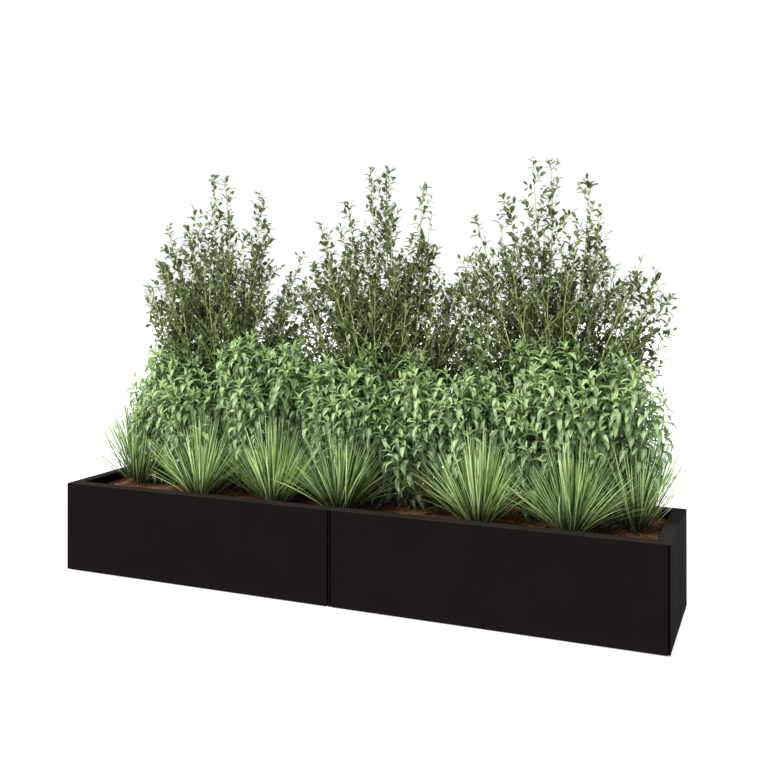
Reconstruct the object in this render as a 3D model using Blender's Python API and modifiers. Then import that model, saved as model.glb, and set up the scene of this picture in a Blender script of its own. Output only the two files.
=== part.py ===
"""Long planted planter box: folded sheet-metal panels on levelling feet, filled and planted.

Metres, +Z up. The origin is on the ground under the middle of the box, +X runs along its length
and the front faces -Y. Every side panel is drawn in a side frame of its own: u runs along the side
(left to right as seen from outside), w runs inward from the outer face, z runs up.
"""

import math

import bmesh
import bpy
from mathutils import Matrix, Vector

# Overall size of the box
LENGTH = 3.0
DEPTH = 0.65
HEIGHT = 0.45

# Folded sheet
SHEET = 0.002
BEND = 0.003
BEND_STEPS = 3
RIM_WIDTH = 0.06
LIP_DROP = 0.02
RETURN_DEPTH = 0.03
BASE_FLANGE = 0.03
SKIRT_CLEARANCE = 0.006
EAR = 0.006
RETURN_LOW = SKIRT_CLEARANCE + 0.004
RETURN_HIGH = HEIGHT - 0.008
SMOOTH_ANGLE = math.radians(40)

# Gaps: TOUCH is between faces that rest on each other, MITRE is half the gap of a mitre
TOUCH = 0.0003
MITRE = 0.001
CORNER_GROOVE = 0.007
SEAM_BAR = 0.005
SEAM_GROOVE_LEFT = 0.008
SEAM_GROOVE_RIGHT = 0.006
GROOVE_DEPTH = 0.012
BAR_PROUD = 0.002

# Modelling: how close points are merged, and how far a cutter runs past the face that it opens
MERGE_DISTANCE = 0.00001
CUT_PAST = 0.01

# Fasteners
BOLT_RADIUS = 0.004
BOLT_PLAY = 0.0005
HOLE_RADIUS = BOLT_RADIUS + BOLT_PLAY
HOLE_REACH = 0.05
HEAD_RADIUS = 0.0075
HEAD_THICKNESS = 0.0055
BOLT_HEIGHTS = (0.11, 0.35)
BOLT_INSET = 0.022
BOLT_PAST_NUT = 0.003
BLIND_END = 0.001
ROUND_SIDES = 12

# Corner posts
POST_LEG = 0.003
POST_REACH = 0.038

# Underside: bearers, feet, trays
BEARER_X = (-1.2, -0.3, 0.3, 1.2)
BEARER_WIDTH = 0.06
BEARER_TOP = 0.0585
SLEEVE_RADIUS = 0.0105
SLEEVE_LENGTH = 0.02
FOOT_Y = 0.25
FOOT_RADIUS = 0.024
FOOT_HEIGHT = 0.01
FOOT_SLOPE = 0.004
FOOT_EDGE = 0.001
COLLAR_RADIUS = 0.009
COLLAR_HEIGHT = 0.008
STUD_RADIUS = 0.005
STUD_CLEARANCE = 0.0005
FOOT_SIDES = 16
TRAY_REACH = (1.458, 0.288)
TRAY_WALL = 0.04
DRAIN_RADIUS = 0.009
DRAINS_ALONG = 3

# Cross ties between the long sides
TIE_Z = 0.29
TIE_HEIGHT = 0.03
TIE_THICKNESS = 0.004
TIE_PAD = 0.003
TIE_SPACING = 0.75
WALL_PAD = 0.03
BAR_PAD = 0.006
SLOT_CLEARANCE = 0.001

# Filling
FLEECE = 0.003
SOIL_REACH = (1.455, 0.283)
HEADSPACE = 0.045
SOIL_TOP = HEIGHT - HEADSPACE

# Planting: the reach of the outermost foliage in front of and behind the middle
PLANT_REACH_Y = 0.385
PLANT_SIDES = 12
PLANT_SMOOTH_ANGLE = math.radians(60)
TALL_TOP = 2.08
TALL_X = (-0.86, 0.07, 0.97)
LEAFY_TOP = 1.185
LEAFY_X = (-1.0, -0.5, -0.03, 0.45, 1.05)
TUFT_TOP = 0.85
TUFT_X = (-0.81, -0.39, -0.03, 0.65, 1.07)
END_TUFTS = ((-1.316, 0.03), (1.316, 0.06))

# Rings of each plant: height above the soil as a share, middle y, reach in x, reach in y
TALL_RINGS = (
    (0.0, 0.20, 0.03, 0.03),
    (0.1, 0.21, 0.06, 0.05),
    (0.24, 0.25, 0.25, 0.11),
    (0.47, 0.255, 0.40, 0.125),
    (0.5, 0.11, 0.44, 0.275),
    (0.62, 0.11, 0.40, 0.26),
    (0.82, 0.11, 0.24, 0.17),
    (0.95, 0.11, 0.11, 0.09),
    (1.0, 0.11, 0.04, 0.04),
)
LEAFY_RINGS = (
    (0.0, 0.062, 0.02, 0.02),
    (0.2, 0.065, 0.07, 0.04),
    (0.57, 0.065, 0.09, 0.04),
    (0.62, -0.05, 0.20, 0.15),
    (0.75, -0.05, 0.22, 0.165),
    (0.93, -0.05, 0.15, 0.12),
    (1.0, -0.05, 0.06, 0.05),
)
TUFT_RINGS = (
    (0.0, 0.055, 0.055),
    (0.4, 0.12, 0.14),
    (0.72, 0.165, 0.2),
    (0.93, 0.13, 0.15),
    (1.0, 0.06, 0.07),
)
END_TUFT_SHARE_Y = 0.58


def clear_scene():
    """Starts from an empty scene."""
    for thing in list(bpy.data.objects):
        bpy.data.objects.remove(thing, do_unlink=True)


def make_collection(name):
    """A new collection in the scene."""
    group = bpy.data.collections.new(name)
    bpy.context.scene.collection.children.link(group)
    return group


def make_material(name, color, roughness, metallic):
    """A plain Principled material."""
    material = bpy.data.materials.new(name)
    material.use_nodes = True
    shader = material.node_tree.nodes["Principled BSDF"]
    shader.inputs["Base Color"].default_value = (*color, 1.0)
    shader.inputs["Roughness"].default_value = roughness
    shader.inputs["Metallic"].default_value = metallic
    return material


def add_object(name, mesh_source, material, group, smooth_angle=None):
    """Turns a bmesh into a named object in a collection."""
    mesh = bpy.data.meshes.new(name)
    mesh_source.to_mesh(mesh)
    mesh_source.free()
    if smooth_angle is not None:
        mesh.shade_smooth()
        mesh.set_sharp_from_angle(angle=smooth_angle)
    made = bpy.data.objects.new(name, mesh)
    if material is not None:
        mesh.materials.append(material)
    group.objects.link(made)
    return made


def block(name, low, high, material, group):
    """A box between two corners."""
    shape = bmesh.new()
    bmesh.ops.create_cube(shape, size=1.0)
    bmesh.ops.scale(shape, vec=Vector(high) - Vector(low), verts=shape.verts)
    made = add_object(name, shape, material, group)
    made.location = (Vector(high) + Vector(low)) / 2
    return made


def prism(outline, low, high):
    """A bmesh of a flat outline of (x, y) points, stood up from z low to z high."""
    shape = bmesh.new()
    base = shape.faces.new([shape.verts.new((x, y, low)) for x, y in outline])
    raised = bmesh.ops.extrude_face_region(shape, geom=[base])
    tops = [part for part in raised["geom"] if isinstance(part, bmesh.types.BMVert)]
    bmesh.ops.translate(shape, vec=(0, 0, high - low), verts=tops)
    bmesh.ops.recalc_face_normals(shape, faces=shape.faces)
    return shape


def rod_bmesh(radius, start, end, sides):
    """A bmesh of a closed round bar along x from start to end."""
    shape = bmesh.new()
    turn = Matrix.Rotation(math.pi / 2, 4, "Y")
    move = Matrix.Translation(((start + end) / 2, 0, 0))
    bmesh.ops.create_cone(
        shape, cap_ends=True, segments=sides, radius1=radius, radius2=radius,
        depth=end - start, matrix=move @ turn,
    )
    return shape


def cut(target, cutter):
    """Takes a cutter's shape out of a target."""
    hide_cutter(cutter)
    boolean = target.modifiers.new(f"cut by {cutter.name}", "BOOLEAN")
    boolean.operation = "DIFFERENCE"
    boolean.object = cutter


def join_on(target, cutter):
    """Adds a cutter's shape to a target."""
    hide_cutter(cutter)
    boolean = target.modifiers.new(f"joined to {cutter.name}", "BOOLEAN")
    boolean.operation = "UNION"
    boolean.object = cutter


def hide_cutter(cutter):
    """Keeps a cutter out of the render and shows it as wire."""
    cutter.hide_render = True
    cutter.display_type = "WIRE"


class Side:
    """One side of the box: its turn about Z, half its run and how far out its outer face is."""

    def __init__(self, turn, half_run, reach):
        """Keeps the side's turn, half run and reach."""
        self.turn = turn
        self.half_run = half_run
        self.reach = reach

    def place(self, thing):
        """Turns an object drawn in the front's own axes round to this side."""
        thing.matrix_basis = Matrix.Rotation(self.turn, 4, "Z") @ thing.matrix_basis
        return thing

    def y(self, inward):
        """The y, in the side's own axes, of a point this far inside the outer face."""
        return inward - self.reach


FRONT = Side(0.0, LENGTH / 2, DEPTH / 2)
RIGHT = Side(math.pi / 2, DEPTH / 2, LENGTH / 2)
REAR = Side(math.pi, LENGTH / 2, DEPTH / 2)
LEFT = Side(-math.pi / 2, DEPTH / 2, LENGTH / 2)


def extruded(shape, edges):
    """Pulls a row of edges out and returns the new edges and vertices."""
    pulled = bmesh.ops.extrude_edge_only(shape, edges=edges)["geom"]
    verts = [part for part in pulled if isinstance(part, bmesh.types.BMVert)]
    fresh = set(verts)
    pulled_edges = [part for part in pulled if isinstance(part, bmesh.types.BMEdge)]
    return [edge for edge in pulled_edges if set(edge.verts) <= fresh], verts


def fold(shape, edges, pivot, axis, flange):
    """Bends the sheet a right angle round pivot and axis, then runs it on by the flange vector."""
    step = Matrix.Rotation(math.pi / 2 / BEND_STEPS, 3, axis)
    made = []
    for _ in range(BEND_STEPS):
        edges, verts = extruded(shape, edges)
        bmesh.ops.rotate(shape, cent=pivot, matrix=step, verts=verts)
        made += verts
    edges, verts = extruded(shape, edges)
    bmesh.ops.translate(shape, vec=flange, verts=verts)
    return edges, made + verts


class End:
    """How a panel ends: where its rim and its face stop, and whether it has a return flange."""

    def __init__(self, rim, face, corner=None, has_return=False):
        """Keeps where the rim and the face end, and what is folded or added at this end."""
        self.rim = rim
        self.face = face
        self.corner = corner
        self.has_return = has_return


def trim_to_mitre(verts, side, start, end):
    """Keeps a flange's ends behind the mitre line of each corner that it runs into."""
    for vert in verts:
        inward = vert.co.y + side.reach
        if start.corner is not None:
            vert.co.x = max(vert.co.x, start.corner + inward + MITRE)
        if end.corner is not None:
            vert.co.x = min(vert.co.x, end.corner - inward - MITRE)


def folded_panel(name, side, start, end, material, group):
    """A face with a rim and lip folded in at the top, a base flange, and its return flanges."""
    shape = bmesh.new()
    face_y = side.y(0.0)
    low = SKIRT_CLEARANCE + BEND
    high = HEIGHT - BEND
    ear = HEIGHT - EAR

    def corner(x, z):
        """One corner of the outline, moved to its place on the side."""
        return shape.verts.new((x, face_y, z))

    start_face = start.face + (BEND if start.has_return else 0.0)
    end_face = end.face - (BEND if end.has_return else 0.0)
    top = [corner(start.rim, high), corner(end.rim, high)]
    right = [corner(end.rim, ear), corner(end_face, ear)]
    right += [corner(end_face, RETURN_HIGH), corner(end_face, RETURN_LOW), corner(end_face, low)]
    left = [corner(start_face, low), corner(start_face, RETURN_LOW), corner(start_face, RETURN_HIGH)]
    left += [corner(start_face, ear), corner(start.rim, ear)]
    shape.faces.new(top + right + left)

    rim_edge = [shape.edges.get(top)]
    base_edge = [shape.edges.get((right[-1], left[0]))]
    end_edge = [shape.edges.get(right[2:4])]
    start_edge = [shape.edges.get(left[1:3])]
    bend_y = side.y(BEND)
    run_in = RIM_WIDTH - 2 * BEND
    over = Vector((-1, 0, 0))
    rim_edge, rim_verts = fold(shape, rim_edge, (0, bend_y, high), over, (0, run_in, 0))
    lip_pivot = (0, side.y(RIM_WIDTH - BEND), high)
    _, lip_verts = fold(shape, rim_edge, lip_pivot, over, (0, 0, BEND - LIP_DROP))
    _, base_verts = fold(shape, base_edge, (0, bend_y, low), "X", (0, BASE_FLANGE - BEND, 0))
    trim_to_mitre(rim_verts + lip_verts + base_verts, side, start, end)
    if end.has_return:
        fold(shape, end_edge, (end_face, bend_y, 0), "Z", (0, RETURN_DEPTH - BEND, 0))
    if start.has_return:
        down = Vector((0, 0, -1))
        fold(shape, start_edge, (start_face, bend_y, 0), down, (0, RETURN_DEPTH - BEND, 0))

    bmesh.ops.remove_doubles(shape, verts=shape.verts, dist=MERGE_DISTANCE)
    bmesh.ops.recalc_face_normals(shape, faces=shape.faces)
    biggest = max(shape.faces, key=lambda face: face.calc_area())
    if biggest.normal.y > 0:
        bmesh.ops.reverse_faces(shape, faces=shape.faces)
    panel = add_object(name, shape, material, group, smooth_angle=SMOOTH_ANGLE)
    skin = panel.modifiers.new("sheet", "SOLIDIFY")
    skin.thickness = SHEET
    skin.offset = -1.0
    skin.use_even_offset = True
    return panel


def bolt_cutter(name, x_from, x_to, y, height, side, cutters):
    """The cutter of a bolt hole along a side's u axis."""
    shape = rod_bmesh(HOLE_RADIUS, x_from, x_to, ROUND_SIDES)
    made = add_object(name, shape, None, cutters)
    made.location = (0, y, height)
    return side.place(made)


def bolt(name, x_head, x_tip, y, height, side, material, group, cutters, nut_at=None):
    """A hex bolt along a side's u axis, its head's bearing face at x_head; with a nut where asked."""
    shank = add_object(
        name, rod_bmesh(BOLT_RADIUS, x_head - HEAD_THICKNESS / 2, x_tip, ROUND_SIDES),
        material, group, smooth_angle=SMOOTH_ANGLE,
    )
    collars = [("head", x_head - HEAD_THICKNESS, x_head)]
    if nut_at is not None:
        collars.append(("nut", nut_at, nut_at + HEAD_THICKNESS))
    for label, low, high in collars:
        hexagon = add_object(
            f"{name}_{label}_cutter", rod_bmesh(HEAD_RADIUS, low, high, 6), material, cutters,
        )
        hexagon.location = (0, y, height)
        side.place(hexagon)
        join_on(shank, hexagon)
    shank.location = (0, y, height)
    return side.place(shank)


def make_panels(materials, group):
    """Two panels along the front, two along the rear and one at each end."""
    seam_left = -SEAM_BAR / 2 - SEAM_GROOVE_LEFT
    seam_right = SEAM_BAR / 2 + SEAM_GROOVE_RIGHT
    made = {}
    for label, side in (("front", FRONT), ("rear", REAR)):
        run = side.half_run
        plain = End(-run, -run, corner=-run)
        at_seam = End(-MITRE, seam_left, has_return=True)
        from_seam = End(MITRE, seam_right, has_return=True)
        grooved = End(run - SHEET - MITRE, run - SHEET - CORNER_GROOVE, corner=run, has_return=True)
        names = ("left", "right") if side is FRONT else ("right", "left")
        for place, start, end in ((names[0], plain, at_seam), (names[1], from_seam, grooved)):
            name = f"{label}_panel_{place}"
            made[name] = side.place(folded_panel(name, side, start, end, materials["coat"], group))
    for label, side in (("right", RIGHT), ("left", LEFT)):
        run = side.half_run
        plain = End(-run, -run, corner=-run)
        grooved = End(run - SHEET - MITRE, run - SHEET - CORNER_GROOVE, corner=run, has_return=True)
        name = f"end_panel_{label}"
        made[name] = side.place(folded_panel(name, side, plain, grooved, materials["coat"], group))
    return made


def make_seams(panels, materials, group, cutters):
    """A T-shaped joint bar between the panels of each long side, clamped by two bolts."""
    nose = SEAM_BAR / 2
    left = -nose - SEAM_GROOVE_LEFT + TOUCH
    right = nose + SEAM_GROOVE_RIGHT - TOUCH
    for label, side, names in (
        ("front", FRONT, ("front_panel_left", "front_panel_right")),
        ("rear", REAR, ("rear_panel_right", "rear_panel_left")),
    ):
        outer = side.y(TOUCH)
        shoulder = side.y(GROOVE_DEPTH)
        inner = side.y(RETURN_DEPTH + BAR_PROUD)
        outline = (
            (-nose, outer), (nose, outer), (nose, shoulder), (right, shoulder),
            (right, inner), (left, inner), (left, shoulder), (-nose, shoulder),
        )
        shape = prism(outline, SKIRT_CLEARANCE, HEIGHT - EAR - TOUCH)
        bar = side.place(add_object(f"joint_bar_{label}", shape, materials["coat"], group))
        for place, height in zip(("lower", "upper"), BOLT_HEIGHTS):
            y = side.y(BOLT_INSET)
            hole = bolt_cutter(
                f"{label}_seam_{place}_hole_cutter", -HOLE_REACH, HOLE_REACH, y, height, side, cutters
            )
            for target in (bar, panels[names[0]], panels[names[1]]):
                cut(target, hole)
            head_at = left - 2 * TOUCH - SHEET
            nut_at = right + 2 * TOUCH + SHEET
            tip = nut_at + HEAD_THICKNESS + BOLT_PAST_NUT
            bolt(
                f"seam_bolt_{label}_{place}", head_at, tip, y, height, side,
                materials["zinc"], group, cutters, nut_at=nut_at,
            )


def make_corners(panels, materials, group, cutters):
    """An L-shaped post at each corner, behind the groove at the right-hand end of each side."""
    corners = (
        ("front_right", FRONT, "front_panel_right"), ("rear_right", RIGHT, "end_panel_right"),
        ("rear_left", REAR, "rear_panel_left"), ("front_left", LEFT, "end_panel_left"),
    )
    for label, side, panel in corners:
        wall = side.half_run - SHEET - TOUCH
        groove_side = side.half_run - SHEET - CORNER_GROOVE + TOUCH
        shoulder = side.y(GROOVE_DEPTH)
        inner = side.y(RETURN_DEPTH)
        far = side.y(GROOVE_DEPTH + POST_REACH)
        outline = (
            (groove_side, shoulder), (wall, shoulder), (wall, far),
            (wall - POST_LEG, far), (wall - POST_LEG, inner), (groove_side, inner),
        )
        shape = prism(outline, RETURN_LOW, RETURN_HIGH)
        post = side.place(add_object(f"corner_post_{label}", shape, materials["coat"], group))
        for place, height in zip(("lower", "upper"), BOLT_HEIGHTS):
            y = side.y(BOLT_INSET)
            start = groove_side - HOLE_REACH
            hole = bolt_cutter(
                f"{label}_corner_{place}_hole_cutter", start, wall - BLIND_END, y, height, side, cutters
            )
            cut(post, hole)
            cut(panels[panel], hole)
            bolt(
                f"corner_bolt_{label}_{place}", groove_side - 2 * TOUCH - SHEET,
                wall - BLIND_END - BOLT_PLAY, y, height, side, materials["zinc"], group, cutters,
            )


def make_bearers(materials, group, cutters):
    """Inverted channels across the base flanges, each with a threaded sleeve over each foot."""
    under = SKIRT_CLEARANCE + SHEET + TOUCH
    for number, x in enumerate(BEARER_X, start=1):
        half = BEARER_WIDTH / 2
        end = DEPTH / 2 - SHEET - 2 * TOUCH
        outline = (
            (-half, under), (-half, BEARER_TOP), (half, BEARER_TOP), (half, under),
            (half - SHEET, under), (half - SHEET, BEARER_TOP - SHEET),
            (SHEET - half, BEARER_TOP - SHEET), (SHEET - half, under),
        )
        shape = prism(outline, -end, end)
        lying = Matrix.Rotation(math.pi / 2, 3, "X")
        bmesh.ops.rotate(shape, cent=(0, 0, 0), matrix=lying, verts=shape.verts)
        bearer = add_object(f"bearer_{number}", shape, materials["zinc"], group)
        bearer.location = (x, 0, 0)
        for label, y in (("front", -FOOT_Y), ("rear", FOOT_Y)):
            top = BEARER_TOP - SHEET / 2
            low = BEARER_TOP - SHEET - SLEEVE_LENGTH
            sleeve = upright_cutter(f"sleeve_{number}_{label}_cutter", SLEEVE_RADIUS, low, top, cutters)
            bore = upright_cutter(
                f"bore_{number}_{label}_cutter", STUD_RADIUS + STUD_CLEARANCE, 0.0, BEARER_TOP + CUT_PAST,
                cutters,
            )
            for tool, action in ((sleeve, join_on), (bore, cut)):
                tool.location.x = x
                tool.location.y = y
                action(bearer, tool)


def upright_cutter(name, radius, low, high, cutters):
    """A cutter in the shape of an upright bar, on the Z axis."""
    shape = bmesh.new()
    bmesh.ops.create_cone(
        shape, cap_ends=True, segments=ROUND_SIDES, radius1=radius, radius2=radius,
        depth=high - low, matrix=Matrix.Translation((0, 0, (low + high) / 2)),
    )
    return add_object(name, shape, None, cutters)


def make_foot(name, x, y, materials, group):
    """A turned foot: a round pad under a threaded stud, with its origin on the stud's axis."""
    stud_top = BEARER_TOP - TOUCH
    collar_top = FOOT_HEIGHT + COLLAR_HEIGHT
    profile = (
        (0.0, stud_top), (STUD_RADIUS - FOOT_EDGE, stud_top), (STUD_RADIUS, stud_top - FOOT_EDGE),
        (STUD_RADIUS, collar_top), (COLLAR_RADIUS, collar_top), (COLLAR_RADIUS, FOOT_HEIGHT),
        (FOOT_RADIUS - FOOT_SLOPE, FOOT_HEIGHT), (FOOT_RADIUS, FOOT_HEIGHT - FOOT_SLOPE),
        (FOOT_RADIUS, FOOT_EDGE), (FOOT_RADIUS - FOOT_EDGE, 0.0), (0.0, 0.0),
    )
    shape = bmesh.new()
    verts = [shape.verts.new((radius, 0, z)) for radius, z in profile]
    for first, second in zip(verts, verts[1:]):
        shape.edges.new((first, second))
    foot = add_object(name, shape, materials["zinc"], group)
    foot.location = (x, y, 0)
    turned = foot.modifiers.new("turned", "SCREW")
    turned.steps = FOOT_SIDES
    turned.render_steps = FOOT_SIDES
    turned.use_merge_vertices = True
    turned.merge_threshold = MERGE_DISTANCE
    return foot


def make_feet(materials, group):
    """Two feet under each bearer."""
    for number, x in enumerate(BEARER_X, start=1):
        for label, y in (("front", -FOOT_Y), ("rear", FOOT_Y)):
            make_foot(f"foot_{number}_{label}", x, y, materials, group)


def make_trays(materials, group, cutters):
    """A sheet tray on the bearers in each half, with drain holes, holding the drainage granules."""
    floor = BEARER_TOP + TOUCH
    for label, direction in (("left", -1), ("right", 1)):
        near = 2 * TOUCH
        far = TRAY_REACH[0]
        length = far - near
        shape = bmesh.new()
        bmesh.ops.create_cube(shape, size=1.0)
        lid = max(shape.faces, key=lambda face: face.calc_center_median().z)
        bmesh.ops.delete(shape, geom=[lid], context="FACES_ONLY")
        bmesh.ops.scale(shape, vec=(length, 2 * TRAY_REACH[1], TRAY_WALL), verts=shape.verts)
        tray = add_object(f"base_tray_{label}", shape, materials["zinc"], group)
        tray.location = (direction * (near + far) / 2, 0, floor + TRAY_WALL / 2)
        skin = tray.modifiers.new("sheet", "SOLIDIFY")
        skin.thickness = SHEET
        skin.offset = -1.0
        skin.use_even_offset = True
        for column in range(DRAINS_ALONG):
            x = direction * (near + length * (column + 0.5) / DRAINS_ALONG)
            drain = upright_cutter(
                f"drain_{label}_{column}_cutter", DRAIN_RADIUS, floor - CUT_PAST, floor + CUT_PAST, cutters
            )
            drain.location.x = x
            cut(tray, drain)
        inset = SHEET + TOUCH
        low_x = direction * (near + inset) if direction > 0 else -(far - inset)
        high_x = direction * (far - inset) if direction > 0 else -(near + inset)
        block(
            f"drainage_granules_{label}",
            (low_x, inset - TRAY_REACH[1], floor + inset),
            (high_x, TRAY_REACH[1] - inset, floor + TRAY_WALL - TOUCH),
            materials["clay"], group,
        )


def tie_outline(half_span, pad_half):
    """The plan of a tie: a thin bar with a pad across each end."""
    bar = TIE_THICKNESS / 2
    neck = half_span - TIE_PAD
    front = [(-pad_half, -half_span), (pad_half, -half_span), (pad_half, -neck), (bar, -neck)]
    rear = [(bar, neck), (pad_half, neck), (pad_half, half_span), (-pad_half, half_span)]
    return front + rear + [(-pad_half, neck), (-bar, neck), (-bar, -neck), (-pad_half, -neck)]


def make_ties(materials, group):
    """Flat ties that hold the long sides together below the surface of the growing medium."""
    at_seam = DEPTH / 2 - RETURN_DEPTH - BAR_PROUD - TOUCH
    at_wall = DEPTH / 2 - SHEET - TOUCH
    for name, x, half_span, pad_half in (
        ("cross_tie_left", -TIE_SPACING, at_wall, WALL_PAD),
        ("cross_tie_middle", 0.0, at_seam, BAR_PAD),
        ("cross_tie_right", TIE_SPACING, at_wall, WALL_PAD),
    ):
        shape = prism(tie_outline(half_span, pad_half), TIE_Z, TIE_Z + TIE_HEIGHT)
        tie = add_object(name, shape, materials["zinc"], group)
        tie.location.x = x


def make_filling(materials, group, cutters):
    """The fleece over the granules and the block of growing medium, slotted for the ties."""
    fleece_low = BEARER_TOP + TRAY_WALL + 2 * TOUCH
    fleece_high = fleece_low + FLEECE
    reach_x, reach_y = SOIL_REACH
    block(
        "filter_fleece", (-reach_x, -reach_y, fleece_low), (reach_x, reach_y, fleece_high),
        materials["fleece"], group,
    )
    soil = block(
        "growing_medium", (-reach_x, -reach_y, fleece_high + TOUCH), (reach_x, reach_y, SOIL_TOP),
        materials["soil"], group,
    )
    slot_half = TIE_THICKNESS / 2 + SLOT_CLEARANCE
    for number, x in enumerate((-TIE_SPACING, 0.0, TIE_SPACING)):
        slot = block(
            f"tie_slot_{number}_cutter", (x - slot_half, -DEPTH, TIE_Z - SLOT_CLEARANCE),
            (x + slot_half, DEPTH, TIE_Z + TIE_HEIGHT + SLOT_CLEARANCE), None, cutters,
        )
        cut(soil, slot)


def lofted(name, rings, material, group):
    """A closed solid through level oval rings of (middle x, middle y, z, reach x, reach y)."""
    shape = bmesh.new()
    loops = []
    for x, y, z, reach_x, reach_y in rings:
        angles = [2 * math.pi * step / PLANT_SIDES for step in range(PLANT_SIDES)]
        loops.append([
            shape.verts.new((x + reach_x * math.cos(a), y + reach_y * math.sin(a), z)) for a in angles
        ])
    for lower, upper in zip(loops, loops[1:]):
        for step in range(PLANT_SIDES):
            after = (step + 1) % PLANT_SIDES
            shape.faces.new((lower[step], lower[after], upper[after], upper[step]))
    shape.faces.new(reversed(loops[0]))
    shape.faces.new(loops[-1])
    return add_object(name, shape, material, group, smooth_angle=PLANT_SMOOTH_ANGLE)


def make_planting(materials, group):
    """A plain closed solid for each plant, standing on the growing medium."""
    ground = SOIL_TOP + TOUCH
    for number, x in enumerate(TALL_X, start=1):
        rings = [(x, y, ground + (TALL_TOP - ground) * t, rx, ry) for t, y, rx, ry in TALL_RINGS]
        lofted(f"tall_shrub_{number}", rings, materials["foliage"], group)
    for number, x in enumerate(LEAFY_X, start=1):
        rings = [(x, y, ground + (LEAFY_TOP - ground) * t, rx, ry) for t, y, rx, ry in LEAFY_RINGS]
        lofted(f"leafy_shrub_{number}", rings, materials["young_foliage"], group)
    widest = max(ry for _, _, ry in TUFT_RINGS)
    row_y = widest - PLANT_REACH_Y
    spots = [(x, row_y, 1.0) for x in TUFT_X]
    spots = [(*END_TUFTS[0], END_TUFT_SHARE_Y), *spots, (*END_TUFTS[1], END_TUFT_SHARE_Y)]
    for number, (x, y, share) in enumerate(spots, start=1):
        rings = [(x, y, ground + (TUFT_TOP - ground) * t, rx, ry * share) for t, rx, ry in TUFT_RINGS]
        lofted(f"grass_tuft_{number}", rings, materials["grass"], group)


def make_materials():
    """One plain material for each kind of piece."""
    return {
        "coat": make_material("black powder coat", (0.012, 0.011, 0.011), 0.6, 0.0),
        "zinc": make_material("zinc plated steel", (0.55, 0.56, 0.57), 0.4, 1.0),
        "clay": make_material("clay granules", (0.35, 0.16, 0.09), 0.9, 0.0),
        "fleece": make_material("filter fleece", (0.55, 0.55, 0.55), 0.95, 0.0),
        "soil": make_material("growing medium", (0.15, 0.06, 0.025), 0.95, 0.0),
        "foliage": make_material("dark leaves", (0.06, 0.13, 0.03), 0.5, 0.0),
        "young_foliage": make_material("fresh leaves", (0.10, 0.25, 0.05), 0.5, 0.0),
        "grass": make_material("grass blades", (0.20, 0.30, 0.12), 0.5, 0.0),
    }


def main():
    """Builds the planter box."""
    clear_scene()
    group = make_collection("planter_box")
    cutters = make_collection("cutters")
    materials = make_materials()
    panels = make_panels(materials, group)
    make_seams(panels, materials, group, cutters)
    make_corners(panels, materials, group, cutters)
    make_bearers(materials, group, cutters)
    make_feet(materials, group)
    make_trays(materials, group, cutters)
    make_ties(materials, group)
    make_filling(materials, group, cutters)
    make_planting(materials, group)
    bpy.context.view_layer.update()


main()
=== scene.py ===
"""Looks of the planted planter box: the powder-coated box, its filling, the planting and a plain studio.

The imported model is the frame: every place below comes from its nodes, in metres, with +Z up, the
front of the box towards -Y and its length along +X.
"""

from __future__ import annotations

import logging
import math
from dataclasses import dataclass, field, fields
from enum import Enum
from typing import Iterable

import bmesh
import bpy
import numpy as np
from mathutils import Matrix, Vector


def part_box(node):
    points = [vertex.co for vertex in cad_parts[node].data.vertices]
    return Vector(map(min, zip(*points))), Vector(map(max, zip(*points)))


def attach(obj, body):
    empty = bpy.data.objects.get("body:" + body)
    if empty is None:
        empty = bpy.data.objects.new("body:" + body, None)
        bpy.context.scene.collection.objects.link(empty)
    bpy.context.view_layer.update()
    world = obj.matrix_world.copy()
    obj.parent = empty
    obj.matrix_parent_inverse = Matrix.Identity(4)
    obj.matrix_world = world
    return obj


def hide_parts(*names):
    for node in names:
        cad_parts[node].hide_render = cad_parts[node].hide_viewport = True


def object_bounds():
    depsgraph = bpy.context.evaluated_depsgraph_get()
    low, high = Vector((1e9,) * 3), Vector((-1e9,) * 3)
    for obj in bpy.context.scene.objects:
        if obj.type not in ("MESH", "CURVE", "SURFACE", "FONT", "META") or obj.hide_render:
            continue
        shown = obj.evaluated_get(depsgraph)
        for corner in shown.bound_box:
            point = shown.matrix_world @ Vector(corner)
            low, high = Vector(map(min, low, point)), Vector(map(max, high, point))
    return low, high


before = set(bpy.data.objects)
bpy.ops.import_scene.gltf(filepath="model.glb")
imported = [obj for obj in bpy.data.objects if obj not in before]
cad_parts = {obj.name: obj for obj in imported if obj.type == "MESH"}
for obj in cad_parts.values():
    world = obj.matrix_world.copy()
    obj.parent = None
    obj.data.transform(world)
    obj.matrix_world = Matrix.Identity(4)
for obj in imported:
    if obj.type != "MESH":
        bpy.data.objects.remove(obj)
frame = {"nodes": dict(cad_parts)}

CAD_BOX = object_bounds()
BODY = "planter"
FOLIAGE_ROOM = (1.055, 1.022, 1.0)
LOG = logging.getLogger("planter_box")

FULL_TURN = 2 * math.pi
GOLDEN_ANGLE = 2.4
UPWARDS = np.array([0, 0, 1.0])
LEVEL = (1, 1, 0)  # takes the height out of a vector
OBLIQUE = (0.2, 0.4, 0.9)  # no shoot points exactly this way, so a leaf's first direction starts from it

Color = tuple[float, float, float]
Range = tuple[float, float]
Array = np.ndarray
Material = bpy.types.Material
Object = bpy.types.Object
Socket = bpy.types.NodeSocket


class Attribute(Enum):
    """Values that the plant meshes carry at each point for their finishes."""

    TINT = "tint"
    ALONG = "along"
    ACROSS = "across"


class Slot(Enum):
    """The record's material slots that the filling and the plants use."""

    MEDIUM = "growing_medium"
    GRASS = "grass"
    FRESH = "fresh_foliage"
    DARK = "dark_foliage"


# Finishes


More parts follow.
